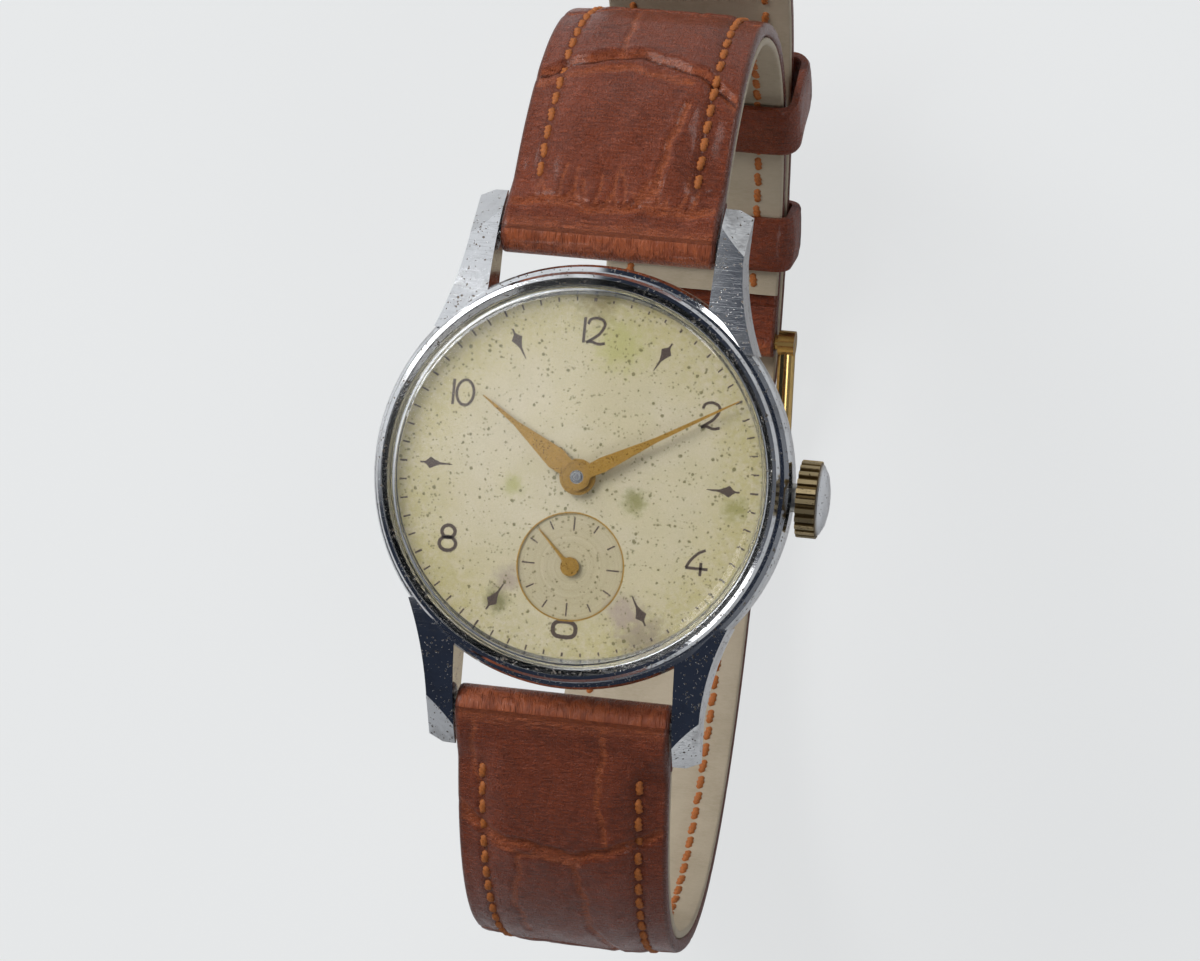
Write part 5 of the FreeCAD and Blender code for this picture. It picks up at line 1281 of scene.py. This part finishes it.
class WATCH_OT_case(bpy.types.Operator):
    """Finish the case, bezel, bars and case back"""

    bl_idname = "watch.case"
    bl_label = "Case"

    def execute(self, context):
        settings = context.scene.watch_metal
        chrome = metal("pitted_chrome", settings.chrome, roughness=0.07, grain=0.04, pits=settings.pitting,
                       tarnish=settings.tarnish, tarnish_cover=0.35, pit_scale=3.6)
        paint(["case_body", "bezel"], chrome)
        back = metal("brushed_back", (0.60, 0.60, 0.59), roughness=0.24, grain=0.9, pits=0.12)
        paint(["case_back"], back)
        bars = metal("bar_steel", (0.62, 0.62, 0.62), roughness=0.22, grain=0.2, pits=0.2)
        paint(["spring_bars"], bars)
        paint(["back_gasket"], gasket_rubber())
        nickel = metal("ring_nickel", (0.6, 0.58, 0.53), roughness=0.3, grain=0.4)
        paint(["movement_ring", "case_screws", "crown_tube"], nickel)
        return {"FINISHED"}


class WATCH_OT_crown(bpy.types.Operator):
    """Finish the winding crown"""

    bl_idname = "watch.crown"
    bl_label = "Crown"

    def execute(self, context):
        paint(["crown"], crown_metal())
        return {"FINISHED"}


class WATCH_OT_crystal(bpy.types.Operator):
    """Fit the clear acrylic crystal"""

    bl_idname = "watch.crystal"
    bl_label = "Crystal"

    def execute(self, context):
        paint(["crystal"], crystal_acrylic())
        return {"FINISHED"}


class WATCH_OT_dial(bpy.types.Operator):
    """Lacquer the dial and print its figures, darts and tracks"""

    bl_idname = "watch.dial"
    bl_label = "Dial"

    def execute(self, context):
        settings = context.scene.watch_dial
        paint(["dial"], dial_lacquer())
        mould = Mould()
        ink = printed(DIAL_TOP, settings)
        for hour, heavy in ((12, 1.0), (2, 1.0), (4, 1.0), (8, 1.25), (10, 1.0)):
            figure(mould, str(hour), hour % 12, settings, heavy)
        # what the small seconds dial leaves of the 6
        six = oval((0.0, -12.15 * MM), 0.92 * MM, 0.62 * MM, power=2.8)
        ribbon(mould, six, settings.stroke * 1.45, ink, closed=True)
        # the darts between the figures: distances from the middle, and the width at each
        reaches = np.array([10.3, 11.3, 11.75, 12.1, 12.45, 12.6, 12.95]) * MM
        widths = np.array([0.07, 0.20, 0.55, 0.95, 0.28, 0.16, 0.13]) * MM
        dart = np.column_stack([np.zeros(len(reaches)), reaches])
        for hour in (1, 3, 5, 7, 9, 11):
            ribbon(mould, turned_back(dart, math.radians(30 * hour)), widths, ink)
        at_twelve, at_hours, at_minutes, half_mark = 0.26 * MM, 0.17 * MM, 0.13 * MM, 0.30 * MM
        inner, outer = settings.minute_radius - half_mark, settings.minute_radius + half_mark
        for minute in range(60):
            wide = at_twelve if minute == 0 else at_minutes if minute % 5 else at_hours
            ribbon(mould, turned_back([(0.0, inner), (0.0, outer)], math.radians(6 * minute)), wide, ink)
        centre, outer = (0.0, settings.seconds_y), 3.95 * MM
        tick_width, short_tick, long_tick = 0.12 * MM, 0.7 * MM, 1.05 * MM
        recessed = printed(DIAL_TOP - settings.seconds_recess, settings)
        for tick in range(12):
            inner = outer - (short_tick if tick % 3 else long_tick)
            mark = turned_back([(0.0, inner), (0.0, outer)], math.radians(30 * tick), centre)
            ribbon(mould, mark, tick_width, recessed)
        mould.piece("dial_printing", dial_ink(), "case", 30.0)
        ring, ring_width, ring_height = Mould(), 0.11 * MM, 0.02 * MM
        line = oval(centre, settings.seconds_radius, settings.seconds_radius, 96)
        ribbon(ring, line, ring_width, (ink[0], DIAL_TOP + ring_height), closed=True)
        gold = metal("gold_ring", context.scene.watch_metal.gilt, roughness=0.30, grain=0.3, pits=0.2)
        ring.piece("small_dial_ring", gold, "case", 30.0)
        return {"FINISHED"}


class WATCH_OT_hands(bpy.types.Operator):
    """Gild the three hands"""

    bl_idname = "watch.hands"
    bl_label = "Hands"

    def execute(self, context):
        gilt = metal("aged_gilt", context.scene.watch_metal.gilt, roughness=0.22, grain=0.45, pits=0.5,
                     tarnish=(0.20, 0.11, 0.025), tarnish_cover=0.75, pit_scale=7.0)
        paint(["minute_hand", "hour_hand", "seconds_hand"], gilt)
        # the raised rings pressed round the hubs
        width, sunk, proud = 0.16 * MM, 0.02 * MM, 0.035 * MM
        seconds_y = context.scene.watch_dial.seconds_y
        for name, y, radius in (("minute_hand", 0.0, 0.80 * MM), ("hour_hand", 0.0, 1.28 * MM),
                                ("seconds_hand", seconds_y, 0.42 * MM)):
            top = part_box(name)[1].z
            mould = Mould()
            ribbon(mould, oval((0.0, y), radius, radius, 48), width, (top - sunk, top + proud), closed=True)
            mould.piece(name + "_ring", gilt, name, 30.0)
        return {"FINISHED"}


class WATCH_OT_movement(bpy.types.Operator):
    """Finish the movement's plates, wheels, steelwork and jewels"""

    bl_idname = "watch.movement"
    bl_label = "Movement"

    def execute(self, context):
        plate = metal("matt_nickel", (0.63, 0.61, 0.56), roughness=0.34, grain=0.5)
        paint(["main_plate", "barrel_bridge", "train_bridge", "balance_cock", "pallet_bridge"], plate)
        brass = metal("gilt_brass", (0.70, 0.52, 0.25), roughness=0.26, grain=0.5, pits=0.08)
        paint(["third_wheel", "fourth_wheel", "hour_wheel", "minute_wheel", "setting_wheel",
               "barrel_drum", "barrel_cover", "balance_wheel"], brass)
        paint(["centre_wheel"], centre_wheel_metal())
        steel = metal("bright_steel", (0.52, 0.52, 0.52), roughness=0.16, grain=0.35, pits=0.06)
        paint(["regulator", "crown_wheel_core", "click_spring", "cannon_pinion", "escape_wheel",
               "barrel_arbor", "ratchet_wheel", "crown_wheel", "winding_pinion", "winding_stem",
               "sliding_pinion", "setting_lever", "yoke", "click", "balance_staff", "pallet_fork"],
              steel)
        screws = metal("screw_steel", (0.5, 0.52, 0.55), roughness=0.12, grain=0.2, pits=0.05)
        paint(["bridge_screws", "ratchet_screw"], screws)
        blued = metal("blued_spring", (0.12, 0.16, 0.32), roughness=0.2, grain=0.2, pits=0.05)
        paint(["hairspring", "mainspring"], blued)
        paint(["jewels", "pallet_stones", "impulse_jewel"], ruby())
        return {"FINISHED"}


class WATCH_OT_strap(bpy.types.Operator):
    """Cut, pad and sew both halves of the leather strap"""

    bl_idname = "watch.strap"
    bl_label = "Strap"

    def execute(self, context):
        s = context.scene.watch_strap
        loop = Loop(s)
        leather, lining, thread = strap_leather(), lining_leather(), sewing_thread()
        buckle_half, tail_half = Half(loop, twelve_creases(), True), Half(loop, six_creases(), False)
        room, end_gap = 0.03 * MM, 0.2 * MM
        slot = (loop.pin - 3.1 * MM, 1.1 * MM)
        at_twelve, at_six = (((y, BAR_Z), s.roll_radius, BAR_RADIUS + room) for y in (BAR_Y, -BAR_Y))
        at_buckle = ((PIN_Y, PIN_Z), s.end_roll_radius, PIN_RADIUS + room)
        make_strap_half(buckle_half, "buckle_half_leather", "strap_buckle_half",
                        ((0.0, at_twelve), (loop.pin - end_gap, at_buckle)), slot, leather)
        tail = make_strap_half(tail_half, "tail_half_leather", "strap_tail_half",
                               ((0.0, at_six), (s.tail_length, None)), None, leather)
        make_lining(buckle_half, "buckle_half_lining", "lining_buckle_half", s.turned_length,
                    loop.pin - s.turned_length, lining)
        tail_lining = make_lining(tail_half, "tail_half_lining", "lining_tail_half", s.turned_length,
                                  s.tail_length - 0.05 * MM, lining)
        punch_holes(tail_half, [tail, tail_lining])
        # the seams start near the bars and stop short of the buckle's, or at the tip's own seam
        top_start, lining_start = 4.4 * MM, 5.4 * MM
        seam_end = s.tail_length - s.stitch_inset
        for part, name, top_end, lining_end in (
            (buckle_half, "buckle_half_stitches", loop.pin - 4.0 * MM, loop.pin - 5.0 * MM),
            (tail_half, "tail_half_stitches", seam_end, seam_end),
        ):
            mould = Mould()
            stitch_rows(part, mould, top_start, top_end, False)
            stitch_rows(part, mould, lining_start, lining_end, True)
            if part is tail_half:
                stitch_tip(part, mould)
            mould.piece(name, thread, "case", 60.0)
        return {"FINISHED"}


class WATCH_OT_keepers(bpy.types.Operator):
    """Make the fixed and the free keeper"""

    bl_idname = "watch.keepers"
    bl_label = "Keepers"

    def execute(self, context):
        loop = Loop(context.scene.watch_strap)
        leather = bpy.data.materials["strap_leather"]
        make_keeper(loop, "fixed_keeper", "case", leather, station=60.5 * MM, room=0.12 * MM)
        make_keeper(loop, "free_keeper", "free_keeper", leather, station=48.0 * MM, room=0.6 * MM)
        return {"FINISHED"}


class WATCH_OT_buckle(bpy.types.Operator):
    """Gild the buckle, its bar and its tongue"""

    bl_idname = "watch.buckle"
    bl_label = "Buckle"

    def execute(self, context):
        base = context.scene.watch_metal.buckle_gilt
        gilt = metal("buckle_gilt", base, roughness=0.13, grain=0.08, pits=0.10)
        paint(["buckle_frame", "buckle_tongue", "buckle_bar"], gilt)
        return {"FINISHED"}


def floor_material():
    """Pale paper, a little uneven, and lighter still where it is only seen."""
    material, graph, shader = new_material("pale_paper")
    mottle = graph.noise(graph.place(), 0.05, 3.0)
    paper = graph.mix(mottle, (0.83, 0.84, 0.845), (0.86, 0.865, 0.87))
    graph.fill(shader, Base_Color=paper, Roughness=0.8)
    seen = graph.add("ShaderNodeEmission", Color=(0.85, 0.865, 0.87), Strength=1.0)
    mix_over(graph, "Is Camera Ray", 0.8, seen)
    return material


def add_lamp(name, place, side, level):
    """A square soft lamp aimed at the watch. level is what a white surface facing it there would return."""
    place = Vector(place)
    data = bpy.data.lights.new(name, "AREA")
    data.shape = "SQUARE"
    data.size = side
    data.energy = level * math.pi**2 * place.length**2
    lamp = bpy.data.objects.new(name, data)
    bpy.context.scene.collection.objects.link(lamp)
    lamp.location = place
    lamp.rotation_euler = (-place).to_track_quat("-Z", "Y").to_euler()


def studio_world():
    """A room that is pale to one side and dim to the other, so that polished metal shows its shape."""
    world = bpy.data.worlds.new("studio")
    world.use_nodes = True
    world.node_tree.nodes.clear()
    graph = Tree(world.node_tree)
    direction = graph.add("ShaderNodeTexCoord").outputs["Generated"]
    across = graph.add("ShaderNodeSeparateXYZ", Vector=direction)
    left = graph.range(across.outputs["X"], -0.20, -0.14, 1.0, 0.0)
    upper = graph.range(across.outputs["Y"], -0.22, 0.10)
    pale = graph.times(left, upper)
    dim = graph.range(across.outputs["X"], 0.25, 0.9, 0.0, 0.22)
    room = graph.mix(graph.math("MAXIMUM", pale, dim), (0.022, 0.028, 0.045), (0.80, 0.82, 0.85))
    below = graph.range(across.outputs["Z"], -0.05, 0.15, 1.0, 0.0)
    room = graph.mix(below, room, (0.80, 0.81, 0.82))
    seen = graph.add("ShaderNodeLightPath").outputs["Is Camera Ray"]
    tone = graph.mix(seen, room, (0.73, 0.742, 0.748))
    background = graph.add("ShaderNodeBackground", Color=tone, Strength=1.0)
    graph.add("ShaderNodeOutputWorld", Surface=background.outputs[0])
    bpy.context.scene.world = world


class WATCH_OT_stage(bpy.types.Operator):
    """Lay the floor, hang the lamps and set the camera"""

    bl_idname = "watch.stage"
    bl_label = "Stage"

    def execute(self, context):
        settings = context.scene.watch_stage
        reach, gap, side = 3.0, 0.05 * MM, settings.lamp_side
        corners = [(x * reach, y * reach, FLOOR_Z - gap) for x, y in ((-1, -1), (1, -1), (1, 1), (-1, 1))]
        mesh = bpy.data.meshes.new("floor")
        mesh.from_pydata(corners, [], [(0, 1, 2, 3)])
        mesh.materials.append(floor_material())
        floor = bpy.data.objects.new("floor", mesh)
        context.scene.collection.objects.link(floor)
        add_lamp("key_lamp", (-0.34, 0.26, 0.42), side, level=0.50)
        add_lamp("fill_lamp", (0.30, -0.30, 0.50), 0.8 * side, level=0.13)
        add_lamp("rim_lamp", (0.30, 0.52, 0.20), 0.5 * side, level=0.10)
        studio_world()
        turn = (Matrix.Rotation(settings.roll, 3, "Z") @ Matrix.Rotation(settings.tip, 3, "X")
                @ Matrix.Rotation(settings.swing, 3, "Y")).transposed()
        data = bpy.data.cameras.new("camera")
        data.lens = settings.lens
        data.sensor_width = 36.0
        data.clip_start, data.clip_end = 0.01, 10.0
        camera = bpy.data.objects.new("camera", data)
        context.scene.collection.objects.link(camera)
        place = turn @ Vector((-settings.shift_x, -settings.shift_y, settings.distance))
        camera.matrix_world = Matrix.Translation(place + Vector((0.0, 0.0, DIAL_TOP))) @ turn.to_4x4()
        context.scene.camera = camera
        context.scene.view_settings.view_transform = "Standard"
        return {"FINISHED"}


OPERATORS = (
    WATCH_OT_case, WATCH_OT_crown, WATCH_OT_dial, WATCH_OT_hands, WATCH_OT_crystal, WATCH_OT_movement,
    WATCH_OT_strap, WATCH_OT_keepers, WATCH_OT_buckle, WATCH_OT_stage,
)
SETTINGS = {
    "watch_strap": StrapSettings,
    "watch_dial": DialSettings,
    "watch_metal": MetalSettings,
    "watch_stage": StageSettings,
}


class WATCH_PT_dressing(bpy.types.Panel):
    """The watch's pieces, in the order they are made"""

    bl_label = "Wristwatch"
    bl_idname = "WATCH_PT_dressing"
    bl_space_type = "VIEW_3D"
    bl_region_type = "UI"
    bl_category = "Watch"

    def draw(self, context):
        for operator in OPERATORS:
            self.layout.operator(operator.bl_idname)


def register():
    for group in SETTINGS.values():
        bpy.utils.register_class(group)
    for operator in OPERATORS:
        bpy.utils.register_class(operator)
    bpy.utils.register_class(WATCH_PT_dressing)
    for name, group in SETTINGS.items():
        setattr(bpy.types.Scene, name, PointerProperty(type=group))


def unregister():
    for name in SETTINGS:
        delattr(bpy.types.Scene, name)
    bpy.utils.unregister_class(WATCH_PT_dressing)
    for operator in reversed(OPERATORS):
        bpy.utils.unregister_class(operator)
    for group in reversed(SETTINGS.values()):
        bpy.utils.unregister_class(group)


def main():
    register()
    for operator in OPERATORS:
        family, action = operator.bl_idname.split(".")
        getattr(getattr(bpy.ops, family), action)()


if __name__ == "__main__":
    main()
